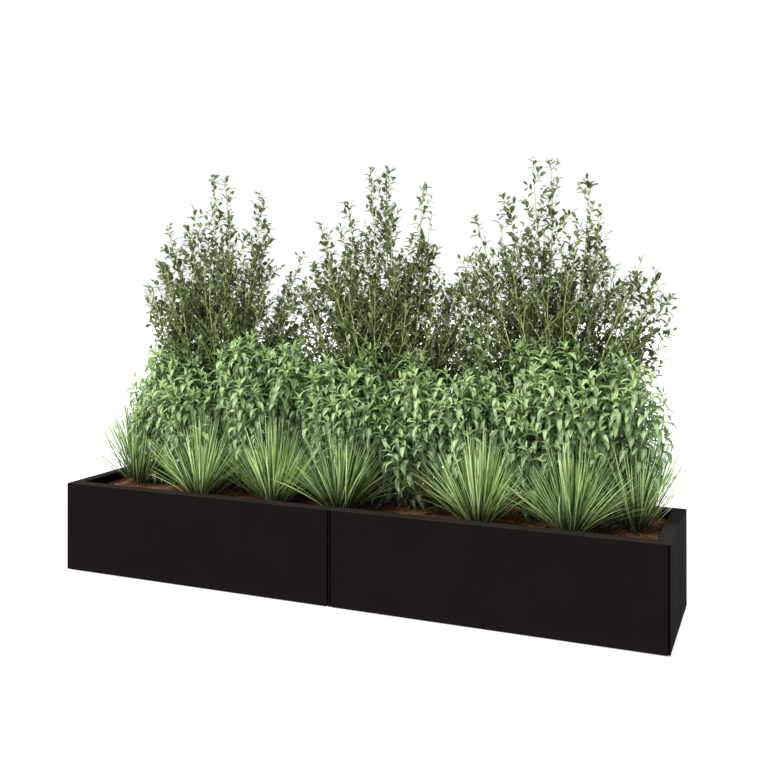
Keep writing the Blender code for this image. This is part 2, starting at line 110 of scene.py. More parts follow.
class Graph:
    """A material's node tree with short methods for the nodes that the finishes share."""

    def __init__(self, name: str) -> None:
        """Starts a material with a Principled shader joined to its output.

        Args:
            name: The material's name.
        """
        self.material = bpy.data.materials.new(name)
        self.material.use_nodes = True
        self.tree = self.material.node_tree
        self.shader = self.tree.nodes["Principled BSDF"]
        self.output = self.tree.nodes["Material Output"]
        self._place: Socket | None = None

    def node(self, kind: str, **values: object) -> bpy.types.Node:
        """Adds a node and sets plain values on its inputs.

        Args:
            kind: The node's type without its ShaderNode prefix.
            **values: A value for each input, named with _ for each space.

        Returns:
            The new node.
        """
        made = self.tree.nodes.new(f"ShaderNode{kind}")
        for name, value in values.items():
            made.inputs[name.replace("_", " ")].default_value = value
        return made

    def link(self, source: Socket, target: Socket) -> None:
        """Joins two sockets."""
        self.tree.links.new(source, target)

    def shade(self, name: str, source: Socket) -> None:
        """Joins a socket to the shader's socket of this name."""
        self.link(source, self.shader.inputs[name])

    def set(self, **values: float) -> None:
        """Sets plain values on the shader's own sockets, named with _ for each space."""
        for name, value in values.items():
            self.shader.inputs[name.replace("_", " ")].default_value = value

    def place(self) -> Socket:
        """The piece's own coordinates.

        Returns:
            The coordinates, in metres.
        """
        if self._place is None:
            self._place = self.node("TexCoord").outputs["Object"]
        return self._place

    def stretched(self, scale: tuple[float, float, float]) -> Socket:
        """The piece's coordinates scaled unevenly.

        Args:
            scale: The factor along each axis.

        Returns:
            The scaled coordinates.
        """
        node = self.node("Mapping", Scale=scale)
        self.link(self.place(), node.inputs["Vector"])
        return node.outputs["Vector"]

    def height(self) -> Socket:
        """How high each point of the piece is.

        Returns:
            The height, in metres.
        """
        node = self.node("SeparateXYZ")
        self.link(self.place(), node.inputs["Vector"])
        return node.outputs["Z"]

    def noise(self, scale: float, detail: float = 3.0, vector: Socket | None = None) -> Socket:
        """A noise pattern.

        Args:
            scale: How many features there are in a metre.
            detail: How many octaves are added.
            vector: The coordinates, or None for the piece's own.

        Returns:
            The noise as a value from 0 to 1.
        """
        node = self.node("TexNoise", Scale=scale, Detail=detail)
        self.link(vector or self.place(), node.inputs["Vector"])
        return node.outputs["Fac"]

    def cells(self, scale: float) -> Socket:
        """The distance to the nearest of a field of scattered points.

        Args:
            scale: How many points there are in a metre.

        Returns:
            The distance.
        """
        node = self.node("TexVoronoi", Scale=scale)
        self.link(self.place(), node.inputs["Vector"])
        return node.outputs["Distance"]

    def carried(self, name: Attribute) -> Socket:
        """A value that the mesh carries at each point.

        Args:
            name: Which value.

        Returns:
            The value, or 0 on a mesh without it.
        """
        node = self.node("Attribute")
        node.attribute_name = name.value
        return node.outputs["Fac"]

    def ranged(
        self, value: Socket, low: float, high: float, to_low: float = 0.0, to_high: float = 1.0
    ) -> Socket:
        """A value moved from one range to another, held at its ends.

        Args:
            value: The value to move.
            low: The value that becomes to_low.
            high: The value that becomes to_high.
            to_low: The first end of the new range.
            to_high: The second end of the new range.

        Returns:
            The moved value.
        """
        node = self.node("MapRange", From_Min=low, From_Max=high, To_Min=to_low, To_Max=to_high)
        self.link(value, node.inputs["Value"])
        return node.outputs["Result"]

    def math(self, operation: str, first: Socket, second: Socket | float = 0.0) -> Socket:
        """A sum, product or other simple operation on one or two values.

        Args:
            operation: The operation's name.
            first: The first value.
            second: The second value, where there is one.

        Returns:
            The result.
        """
        node = self.node("Math")
        node.operation = operation
        self.link(first, node.inputs[0])
        if isinstance(second, float):
            node.inputs[1].default_value = second
        else:
            self.link(second, node.inputs[1])
        return node.outputs["Value"]

    def product(self, first: Socket, second: Socket | float) -> Socket:
        """Two values multiplied."""
        return self.math("MULTIPLY", first, second)

    def total(self, first: Socket, second: Socket | float) -> Socket:
        """Two values added."""
        return self.math("ADD", first, second)

    def wave(self, value: Socket, count: float) -> Socket:
        """A sine of a value, folded up so that it is never below 0."""
        return self.math("ABSOLUTE", self.math("SINE", self.product(value, count)))

    def ramp(self, value: Socket, stops: Iterable[tuple[float, Color]]) -> Socket:
        """A colour looked up from a value.

        Args:
            value: The value, from 0 to 1.
            stops: Pairs of a place from 0 to 1 and the colour there.

        Returns:
            The colour.
        """
        node = self.node("ValToRGB")
        elements = node.color_ramp.elements
        listed = list(stops)
        while len(elements) < len(listed):
            elements.new(0.5)
        for element, (place, color) in zip(elements, listed):
            element.position = place
            element.color = (*color, 1.0)
        self.link(value, node.inputs["Fac"])
        return node.outputs["Color"]

    def mixed(self, share: Socket | float, first: Socket | Color, second: Socket | Color) -> Socket:
        """Two colours put together.

        Args:
            share: How much of the second colour there is.
            first: The first colour.
            second: The second colour.

        Returns:
            The colour.
        """
        node = self.node("Mix")
        node.data_type = "RGBA"
        # This node lists its inputs for numbers and vectors before those for colours.
        factor, first_color, second_color = node.inputs[0], node.inputs[6], node.inputs[7]
        if isinstance(share, float):
            factor.default_value = share
        else:
            self.link(share, factor)
        for color, socket in ((first, first_color), (second, second_color)):
            if isinstance(color, tuple):
                socket.default_value = (*color, 1.0)
            else:
                self.link(color, socket)
        return node.outputs[2]

    def scaled(self, color: Socket, factor: Socket) -> Socket:
        """A colour made lighter or darker.

        Args:
            color: The colour.
            factor: What it is multiplied by.

        Returns:
            The colour.
        """
        node = self.node("VectorMath")
        node.operation = "SCALE"
        self.link(color, node.inputs[0])
        self.link(factor, node.inputs["Scale"])
        return node.outputs["Vector"]

    def bump(self, height: Socket, distance: float, strength: float) -> None:
        """Raises the surface by a height value.

        Args:
            height: The height, from 0 to 1.
            distance: How far a height of 1 is raised, in metres.
            strength: How much of the effect is kept.
        """
        node = self.node("Bump", Distance=distance, Strength=strength)
        self.link(height, node.inputs["Height"])
        self.shade("Normal", node.outputs["Normal"])

    def lets_light_through(self, color: Socket, share: float) -> None:
        """Adds light that passes through a thin leaf.

        Args:
            color: The colour of the light that comes through.
            share: How much of the light passes through.
        """
        thin = self.node("BsdfTranslucent")
        both = self.node("MixShader", Fac=share)
        self.link(color, thin.inputs["Color"])
        self.link(self.shader.outputs["BSDF"], both.inputs[1])
        self.link(thin.outputs["BSDF"], both.inputs[2])
        self.link(both.outputs["Shader"], self.output.inputs["Surface"])


class Finish:
    """A procedural material that can be made under any name."""

    def build(self, name: str) -> Material:
        """Makes the material.

        Args:
            name: The material's name.

        Returns:
            The finished material.
        """
        g = Graph(name)
        self.lay_out(g)
        return g.material

    def lay_out(self, g: Graph) -> None:
        """Lays out the finish's nodes.

        Args:
            g: The material's graph.
        """
        raise NotImplementedError


@dataclass(frozen=True)
class PowderCoat(Finish):
    """Matte black powder coat with a pebbled skin, dust low down, painted light on the rim top, and cloudy
    patches.
    """

    color: Color = (0.0062, 0.0048, 0.0046)
    dusty: Color = (0.0115, 0.0096, 0.009)
    # A lighter colour painted on the rim top in place of the light that falls on it from above.
    painted_rim_light: Color = (0.0187, 0.0163, 0.0148)
    specular: float = 0.0018
    roughness: Range = (0.5, 0.62)
    cloud_scale: float = 3.0
    speck_scale: float = 240.0
    pebble_scale: float = 900.0
    pebble_height: float = 0.00006
    dust_top: float = 0.07
    dust_share: float = 0.5
    patch_share: float = 0.12
    rim_depth: float = 0.0035
    least_painted_rim_light: float = 0.75

    def lay_out(self, g: Graph) -> None:
        """Lays out the finish's nodes.

        Args:
            g: The material's graph.
        """
        clouds = g.noise(self.cloud_scale, 5.0)
        specks = g.noise(self.speck_scale, 2.0)
        height = g.height()
        dust = g.product(g.ranged(height, self.dust_top, 0.0), g.ranged(specks, 0.45, 0.7))
        patches = g.product(g.ranged(clouds, 0.5, 0.8), self.patch_share)
        dusted = g.math("MAXIMUM", g.product(dust, self.dust_share), patches)
        base = g.mixed(dusted, self.color, self.dusty)
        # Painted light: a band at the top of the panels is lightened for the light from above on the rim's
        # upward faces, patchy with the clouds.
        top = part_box("front_panel_left")[1].z
        rim = g.ranged(height, top - self.rim_depth, top - self.rim_depth / 3)
        rim = g.product(rim, g.ranged(clouds, 0.2, 0.6, self.least_painted_rim_light, 1.0))
        g.shade("Base Color", g.mixed(rim, base, self.painted_rim_light))
        g.shade("Roughness", g.ranged(clouds, 0.3, 0.7, *self.roughness))
        g.bump(g.noise(self.pebble_scale, 2.0), self.pebble_height, 0.35)
        g.set(Specular_IOR_Level=self.specular)


@dataclass(frozen=True)
class ZincPlate(Finish):
    """Zinc-plated steel with soft grey spangles and fine rolling lines."""

    bright: Color = (0.52, 0.53, 0.55)
    dull: Color = (0.34, 0.35, 0.36)
    roughness: Range = (0.32, 0.5)
    spangle_scale: float = 90.0
    line_scale: float = 30.0
    line_height: float = 0.0001

    def lay_out(self, g: Graph) -> None:
        """Lays out the finish's nodes.

        Args:
            g: The material's graph.
        """
        lines = g.noise(self.line_scale, 4.0, g.stretched((1.0, 30.0, 30.0)))
        spangles = g.ranged(g.cells(self.spangle_scale), 0.0, 0.8)
        both = g.product(spangles, g.ranged(lines, 0.2, 0.8, 0.6, 1.0))
        g.shade("Base Color", g.ramp(both, ((0.0, self.dull), (1.0, self.bright))))
        g.shade("Roughness", g.ranged(lines, 0.3, 0.7, *self.roughness))
        g.bump(lines, self.line_height, 0.3)
        g.set(Metallic=1.0)


@dataclass(frozen=True)
class Earth(Finish):
    """Crumbly matter: mottled browns over a rough grain, scaled by the tint that the mesh carries, which holds
    random mottling and painted shadow.
    """

    dark: Color
    middle: Color
    light: Color
    grain_scale: float = 220.0
    grain_height: float = 0.004
    tone: Range = (0.12, 1.3)
    patch_scale: float = 28.0
    grain_share: float = 0.6

    def lay_out(self, g: Graph) -> None:
        """Lays out the finish's nodes.

        Args:
            g: The material's graph.
        """
        grain = g.noise(self.grain_scale, 4.0)
        patches = g.product(g.noise(self.patch_scale), 1 - self.grain_share)
        varied = g.total(g.product(grain, self.grain_share), patches)
        color = g.ramp(varied, ((0.36, self.dark), (0.5, self.middle), (0.66, self.light)))
        # On the medium, the carried tint holds painted shadow as well as random mottling.
        g.shade("Base Color", g.scaled(color, g.ranged(g.carried(Attribute.TINT), 0.0, 1.0, *self.tone)))
        g.bump(g.total(grain, g.cells(self.grain_scale * 0.7)), self.grain_height, 0.5)
        g.set(Roughness=0.95, Specular_IOR_Level=0.15)


@dataclass(frozen=True)
class Fleece(Finish):
    """Grey needled filter cloth with matted fibres."""

    color: Color = (0.42, 0.42, 0.41)
    darkening: float = 0.55
    fibre_scale: float = 60.0
    fibre_stretch: float = 9.0
    fibre_height: float = 0.0008

    def lay_out(self, g: Graph) -> None:
        """Lays out the finish's nodes.

        Args:
            g: The material's graph.
        """
        lengthwise = g.noise(self.fibre_scale, 6.0, g.stretched((1.0, self.fibre_stretch, 1.0)))
        crosswise = g.noise(self.fibre_scale, 6.0, g.stretched((self.fibre_stretch, 1.0, 1.0)))
        matted = g.math("MAXIMUM", lengthwise, crosswise)
        dark = tuple(part * self.darkening for part in self.color)
        g.shade("Base Color", g.ramp(matted, ((0.4, dark), (0.7, self.color))))
        g.bump(matted, self.fibre_height, 0.6)
        g.set(Roughness=0.95, Specular_IOR_Level=0.1)


@dataclass(frozen=True)
class LeafSkin(Finish):
    """A leaf: its green varies from leaf to leaf, with a pale rib, side veins and light coming through."""

    shaded: Color
    middle: Color
    fresh: Color
    rib: Color
    through: Color
    roughness: float = 0.42
    specular: float = 0.45
    translucency: float = 0.22
    veins: float = 9.0
    vein_slope: float = -1.6
    vein_share: float = 0.3
    rib_share: float = 0.7
    mottling: float = 0.35
    relief: float = 0.0006

    def lay_out(self, g: Graph) -> None:
        """Lays out the finish's nodes.

        Args:
            g: The material's graph.
        """
        across = g.carried(Attribute.ACROSS)
        stops = ((0.0, self.shaded), (0.5, self.middle), (1.0, self.fresh))
        greens = g.ramp(g.carried(Attribute.TINT), stops)
        mottled = g.mixed(g.ranged(g.noise(130.0), 0.35, 0.75, 0.0, self.mottling), greens, self.shaded)
        along = g.product(g.carried(Attribute.ALONG), self.veins)
        slope = g.total(along, g.product(across, self.vein_slope))
        vein = g.ranged(g.wave(slope, math.pi), 0.0, 0.3, 1.0, 0.0)
        lines = g.math("MAXIMUM", g.ranged(across, 0.05, 0.2, 1.0, 0.0), g.product(vein, self.vein_share))
        color = g.mixed(g.product(lines, self.rib_share), mottled, self.rib)
        g.shade("Base Color", color)
        smooth, rough = self.roughness - 0.06, self.roughness + 0.1
        g.shade("Roughness", g.ranged(g.noise(60.0), 0.3, 0.7, smooth, rough))
        g.bump(g.math("SUBTRACT", g.noise(90.0, 2.0), lines), self.relief, 0.5)
        g.set(Specular_IOR_Level=self.specular)
        g.lets_light_through(g.mixed(0.5, color, self.through), self.translucency)


@dataclass(frozen=True)
class BladeSkin(Finish):
    """A grass blade: pale lengthwise streaks, painted shade darkening its foot, paler at its tip."""

    # The foot colour is painted shade: near black, in place of the shade deep in the tuft.
    foot: Color
    body: Color
    pale: Color
    tip: Color
    roughness: Range = (0.4, 0.56)
    specular: float = 0.2
    translucency: float = 0.18
    streaks: float = 9.0
    streak_share: float = 0.25
    streak_height: float = 0.0003
    tip_share: float = 0.6
    pale_foot_share: float = 0.5

    def lay_out(self, g: Graph) -> None:
        """Lays out the finish's nodes.

        Args:
            g: The material's graph.
        """
        tint = g.carried(Attribute.TINT)
        along = g.carried(Attribute.ALONG)
        streak = g.wave(g.carried(Attribute.ACROSS), self.streaks)
        leaf = g.ramp(tint, ((0.0, self.body), (1.0, self.pale)))
        streaked = g.mixed(g.product(streak, self.streak_share), leaf, self.pale)
        # Painted shade: the lower part of each blade turns to the near-black foot colour, less on pale blades.
        painted_foot_shade = g.ranged(along, 0.1, 0.62, 1.0, 0.0)
        painted_foot_shade = g.product(painted_foot_shade, g.ranged(tint, 0.5, 1.0, 1.0, self.pale_foot_share))
        foot_shaded = g.mixed(painted_foot_shade, streaked, self.foot)
        tipped = g.mixed(g.ranged(along, 0.8, 1.0, 0.0, self.tip_share), foot_shaded, self.tip)
        g.shade("Base Color", tipped)
        g.shade("Roughness", g.ranged(g.noise(80.0), 0.3, 0.7, *self.roughness))
        g.bump(streak, self.streak_height, 0.4)
        g.set(Specular_IOR_Level=self.specular)
        g.lets_light_through(tipped, self.translucency)


@dataclass(frozen=True)
class Bark(Finish):
    """A stem's skin: brown and ridged at its foot, green where it is young."""

    old: Color
    young: Color
    ridge_scale: float = 260.0
    ridge_height: float = 0.0012
    ridge_stretch: float = 0.15

    def lay_out(self, g: Graph) -> None:
        """Lays out the finish's nodes.

        Args:
            g: The material's graph.
        """
        ridges = g.noise(self.ridge_scale, 4.0, g.stretched((1.0, 1.0, self.ridge_stretch)))
        age = g.total(g.carried(Attribute.ALONG), g.ranged(ridges, 0.3, 0.7, -0.15, 0.15))
        dark = tuple(part / 2 for part in self.old)
        bark = g.ramp(ridges, ((0.3, dark), (0.65, self.old)))
        g.shade("Base Color", g.mixed(g.ranged(age, 0.15, 0.6), bark, self.young))
        g.bump(ridges, self.ridge_height, 0.6)
        g.set(Roughness=0.75, Specular_IOR_Level=0.25)


# Mesh tools


def unit(vectors: Array) -> Array:
    """The vectors scaled to a length of one."""
    return vectors / np.maximum(np.linalg.norm(vectors, axis=-1, keepdims=True), 1e-9)


def around(angles: Array) -> Array:
    """Level unit vectors at these angles."""
    return np.stack([np.cos(angles), np.sin(angles), np.zeros_like(angles)], axis=-1)


def turned(first: Array, second: Array, angles: Array) -> Array:
    """Each first vector turned towards its second one by an angle."""
    return first * np.cos(angles)[:, None] + second * np.sin(angles)[:, None]


def in_room(points: Array) -> Array:
    """Tells which points are in the room that the plants may fill, a little wider than the model's box.

    Args:
        points: The points.

    Returns:
        A truth value for each point.
    """
    low, high = (np.array(corner) for corner in CAD_BOX)
    middle, half = (low + high) / 2, (high - low) / 2
    return np.all(np.abs(points - middle) < half * FOLIAGE_ROOM, axis=-1)


@dataclass(frozen=True)
class Curve:
    """Values at a few places, joined by straight lines."""

    places: tuple[float, ...]
    values: tuple[float, ...]

    def at(self, place: Array) -> Array:
        """The values at these places."""
        return np.interp(place, self.places, self.values)


@dataclass
class MeshBuffer:
    """Points, four-sided faces and carried values, gathered before they become one mesh."""

    points: list[Array] = field(default_factory=list)
    faces: list[Array] = field(default_factory=list)
    values: dict[Attribute, list[Array]] = field(default_factory=lambda: {kind: [] for kind in Attribute})
    count: int = 0

    def add(self, points: Array, faces: Array, **values: Array | float) -> None:
        """Adds a batch of points and the faces between them.

        Args:
            points: Points as rows of x, y and z.
            faces: Faces as rows of point numbers within the batch.
            **values: A number for each point or for all, under an attribute's name; the others are 0.
        """
        self.points.append(points.reshape(-1, 3))
        self.faces.append(faces + self.count)
        for kind, kept in self.values.items():
            kept.append(np.broadcast_to(values.get(kind.value, 0.0), (len(self.points[-1]),)))
        self.count += len(self.points[-1])

    def to_object(self, name: str, material: Material) -> Object:
        """Makes one smooth mesh object of all that was added.

        Args:
            name: The piece's name.
            material: Its finish.

        Returns:
            The new object, in the scene.
        """
        mesh = bpy.data.meshes.new(name)
        faces = [row for batch in self.faces for row in batch.tolist()]
        mesh.from_pydata(np.concatenate(self.points).tolist(), [], faces)
        for kind, kept in self.values.items():
            attribute = mesh.attributes.new(kind.value, "FLOAT", "POINT")
            attribute.data.foreach_set("value", np.concatenate(kept).astype(np.float32))
        mesh.shade_smooth()
        mesh.materials.append(material)
        made = bpy.data.objects.new(name, mesh)
        bpy.context.scene.collection.objects.link(made)
        return made


def grid_faces(copies: int, rows: int, columns: int, closed: bool = False) -> Array:
    """Faces of many grids of points that follow one another.

    Args:
        copies: How many grids there are.
        rows: Points along each grid.
        columns: Points across each grid.
        closed: Whether the last column joins the first, as on a tube.

    Returns:
        The faces as rows of four point numbers.
    """
    steps = columns if closed else columns - 1
    row, column = np.meshgrid(np.arange(rows - 1), np.arange(steps), indexing="ij")
    here, above = row * columns, (row + 1) * columns
    after = (column + 1) % columns
    one = np.stack((here + column, here + after, above + after, above + column), axis=-1).reshape(-1, 4)
    starts = np.arange(copies)[:, None, None] * rows * columns
    return (one[None] + starts).reshape(-1, 4)


@dataclass(frozen=True)
class LeafShape:
    """The outline and bend that the leaves of one kind of plant share."""

    rows: int
    columns: int
    widest: float
    tip_power: float
    fold: float
    ripple: float = 0.0
    ripples: float = 2.5
    foot_power: float = 0.8
    least: float = 0.04

    def half_width(self, along: Array) -> Array:
        """The leaf's outline.

        Args:
            along: Places along the leaf, from 0 to 1.

        Returns:
            The share of the full half width at each place.
        """
        rising = np.sin(np.clip(along / self.widest, 0, 1) * math.pi / 2)
        falling = np.sin(np.clip((1 - along) / (1 - self.widest), 0, 1) * math.pi / 2)
        return self.least + (1 - self.least) * rising**self.foot_power * falling**self.tip_power


@dataclass
class LeafBatch:
    """Where each leaf of a plant grows and how it lies."""

    origin: Array
    axis: Array
    up: Array
    length: Array
    width: Array
    curl: Array
    tint: Array

    def kept(self, chosen: Array) -> LeafBatch:
        """The batch with only some of its leaves."""
        return LeafBatch(*(getattr(self, part.name)[chosen] for part in fields(self)))

    def points(self, shape: LeafShape) -> Array:
        """Every leaf as a folded, curled sheet of points.

        Args:
            shape: The leaves' shared outline.

        Returns:
            The points of each leaf, in rows along it and columns across it.
        """
        along = np.linspace(0, 1, shape.rows)
        across = np.linspace(-1, 1, shape.columns)
        axis = unit(self.axis)
        side = unit(np.cross(axis, self.up))
        normal = np.cross(side, axis)
        curl = np.where(np.abs(self.curl) < 1e-3, 1e-3, self.curl)[:, None]
        bend = curl * along
        forward = self.length[:, None] * np.sin(bend) / curl
        drop = self.length[:, None] * (1 - np.cos(bend)) / curl
        half = self.width[:, None] / 2 * shape.half_width(along)
        sideways = half[:, :, None] * across
        waves = shape.ripple * np.sin(along * shape.ripples * FULL_TURN)[None, :, None]
        lift = np.abs(sideways) * shape.fold + waves * across**2 * half[:, :, None]
        leaning = normal[:, None] * np.cos(bend)[..., None] + axis[:, None] * np.sin(bend)[..., None]
        spine = self.origin[:, None] + axis[:, None] * forward[..., None] - normal[:, None] * drop[..., None]
        sheet = side[:, None, None] * sideways[..., None] + leaning[:, :, None] * lift[..., None]
        return spine[:, :, None] + sheet

    def build(self, shape: LeafShape, name: str, material: Material) -> Object:
        """Makes one piece of all leaves, without those that reach outside the plants' room.

        Args:
            shape: The leaves' shared outline.
            name: The piece's name.
            material: Its finish.

        Returns:
            The new object.
        """
        points = self.points(shape)
        inside = in_room(points).all(axis=(1, 2))
        count = int(inside.sum())
        full = (count, shape.rows, shape.columns)
        along = np.linspace(0, 1, shape.rows)[:, None]
        across = np.abs(np.linspace(-1, 1, shape.columns))
        buffer = MeshBuffer()
        buffer.add(
            points[inside],
            grid_faces(*full),
            tint=np.broadcast_to(self.tint[inside, None, None], full).ravel(),
            along=np.broadcast_to(along, full).ravel(),
            across=np.broadcast_to(across, full).ravel(),
        )
        return buffer.to_object(name, material)


def add_tubes(buffer: MeshBuffer, paths: Array, radii: Array, sides: int, ages: Array) -> None:
    """Builds stems as tapered tubes.

    Args:
        buffer: The mesh that the stems go in.
        paths: One row of points for each stem.
        radii: The radius at each point, or at each step of any stem.
        sides: How many sides a stem has.
        ages: 0 where a stem is old and 1 where it is young, at each step.
    """
    full = (*paths.shape[:2], sides)
    tangent = unit(np.gradient(paths, axis=1))
    slant = np.array([0.31, 0.83, 0.47])
    first = unit(slant - (tangent @ slant)[..., None] * tangent)
    second = np.cross(tangent, first)
    angle = np.arange(sides) * FULL_TURN / sides
    ring = first[:, :, None] * np.cos(angle)[:, None] + second[:, :, None] * np.sin(angle)[:, None]
    points = paths[:, :, None] + ring * np.broadcast_to(radii, full[:2])[..., None, None]
    buffer.add(points, grid_faces(*full, closed=True), along=np.broadcast_to(ages[:, None], full).ravel())


def hermite(start: Array, end: Array, leaving: Array, arriving: Array, steps: int) -> Array:
    """Smooth paths between rows of points.

    Args:
        start: Where each path starts.
        end: Where each path ends.
        leaving: Each path's direction and strength at its start.
        arriving: Each path's direction and strength at its end.
        steps: How many points each path has.

    Returns:
        The paths' points, as rows of steps points.
    """
    t = np.linspace(0, 1, steps)[None, :, None]
    return (
        (2 * t**3 - 3 * t**2 + 1) * start[:, None]
        + (t**3 - 2 * t**2 + t) * leaving[:, None]
        + (3 * t**2 - 2 * t**3) * end[:, None]
        + (t**3 - t**2) * arriving[:, None]
    )


def weld(piece: Object, distance: float = 1e-5) -> None:
    """Joins the points of a mesh that lie on each other.

    Args:
        piece: The mesh object.
        distance: How close two points are to be joined, in metres.
    """
    shape = bmesh.new()
    shape.from_mesh(piece.data)
    bmesh.ops.remove_doubles(shape, verts=shape.verts, dist=distance)
    bmesh.ops.recalc_face_normals(shape, faces=shape.faces)
    shape.to_mesh(piece.data)
    shape.free()


def settle(piece: Object, slot: Slot, *nodes: str) -> None:
    """Rides a piece on the box and hides the CAD nodes that it stands for.

    Args:
        piece: The new piece.
        slot: The record's material slot; not used.
        *nodes: The CAD nodes that it stands for, if any.
    """
    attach(piece, BODY)
    if nodes:
        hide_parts(*nodes)
    LOG.info("%s: %d faces", piece.name, len(piece.data.polygons))


# The box


def dress(node: Object, material: Material) -> None:
    """Puts one material in every slot of a CAD node.

    Args:
        node: The node.
        material: The material.
    """
    if not node.material_slots:
        node.data.materials.append(material)
    for place in node.material_slots:
        place.material = material
    LOG.info("%s: %s", node.name, material.name)


@dataclass
class BoxShell:
    """The CAD pieces of the box that stay as they are and only get their finishes."""

    coat: PowderCoat = PowderCoat()
    plating: ZincPlate = ZincPlate()
    coated: tuple[str, ...] = ("front_panel", "rear_panel", "end_panel", "joint_bar", "corner_post")
    plated: tuple[str, ...] = ("seam_bolt", "corner_bolt", "bearer", "foot", "base_tray", "cross_tie")

    def dress_all(self, nodes: dict[str, Object]) -> None:
        """Gives each metal node its finish.

        Args:
            nodes: The frame's CAD nodes.
        """
        coat, plating = self.coat.build("powder_coat"), self.plating.build("zinc_plate")
        for name, node in sorted(nodes.items()):
            if name.startswith(self.coated):
                dress(node, coat)
            elif name.startswith(self.plated):
                dress(node, plating)


@dataclass(frozen=True)
class Crumb:
    """A rough lump: three rings of points between two blunt ends."""

    sides: int = 5
    rings: tuple[Range, ...] = ((-0.8, 0.55), (0.1, 1.0), (0.8, 0.5))
    end_width: float = 0.05

    def points(self) -> Array:
        """The lump's points.

        Returns:
            The rings from the bottom up, then two points at each end.
        """
        angles = np.arange(self.sides) * FULL_TURN / self.sides
        rings = [reach * around(angles + z) + UPWARDS * z for z, reach in self.rings]
        ends = [[x, 0, z] for z in (-1.0, 1.0) for x in (0, self.end_width)]
        return np.concatenate([*rings, np.array(ends)])

    def faces(self) -> Array:
        """The lump's faces.

        Returns:
            Bands of quads between the rings, and a fan of quads over each end.
        """
        sides, rings = self.sides, len(self.rings)
        bands = grid_faces(1, rings, sides, closed=True)
        below, above = rings * sides, rings * sides + 2
        last = (rings - 1) * sides
        low = [[below + 1, (step + 1) % sides, step, below] for step in range(sides)]
        high = [[above, last + step, last + (step + 1) % sides, above + 1] for step in range(sides)]
        return np.concatenate([bands, np.array(low), np.array(high)])


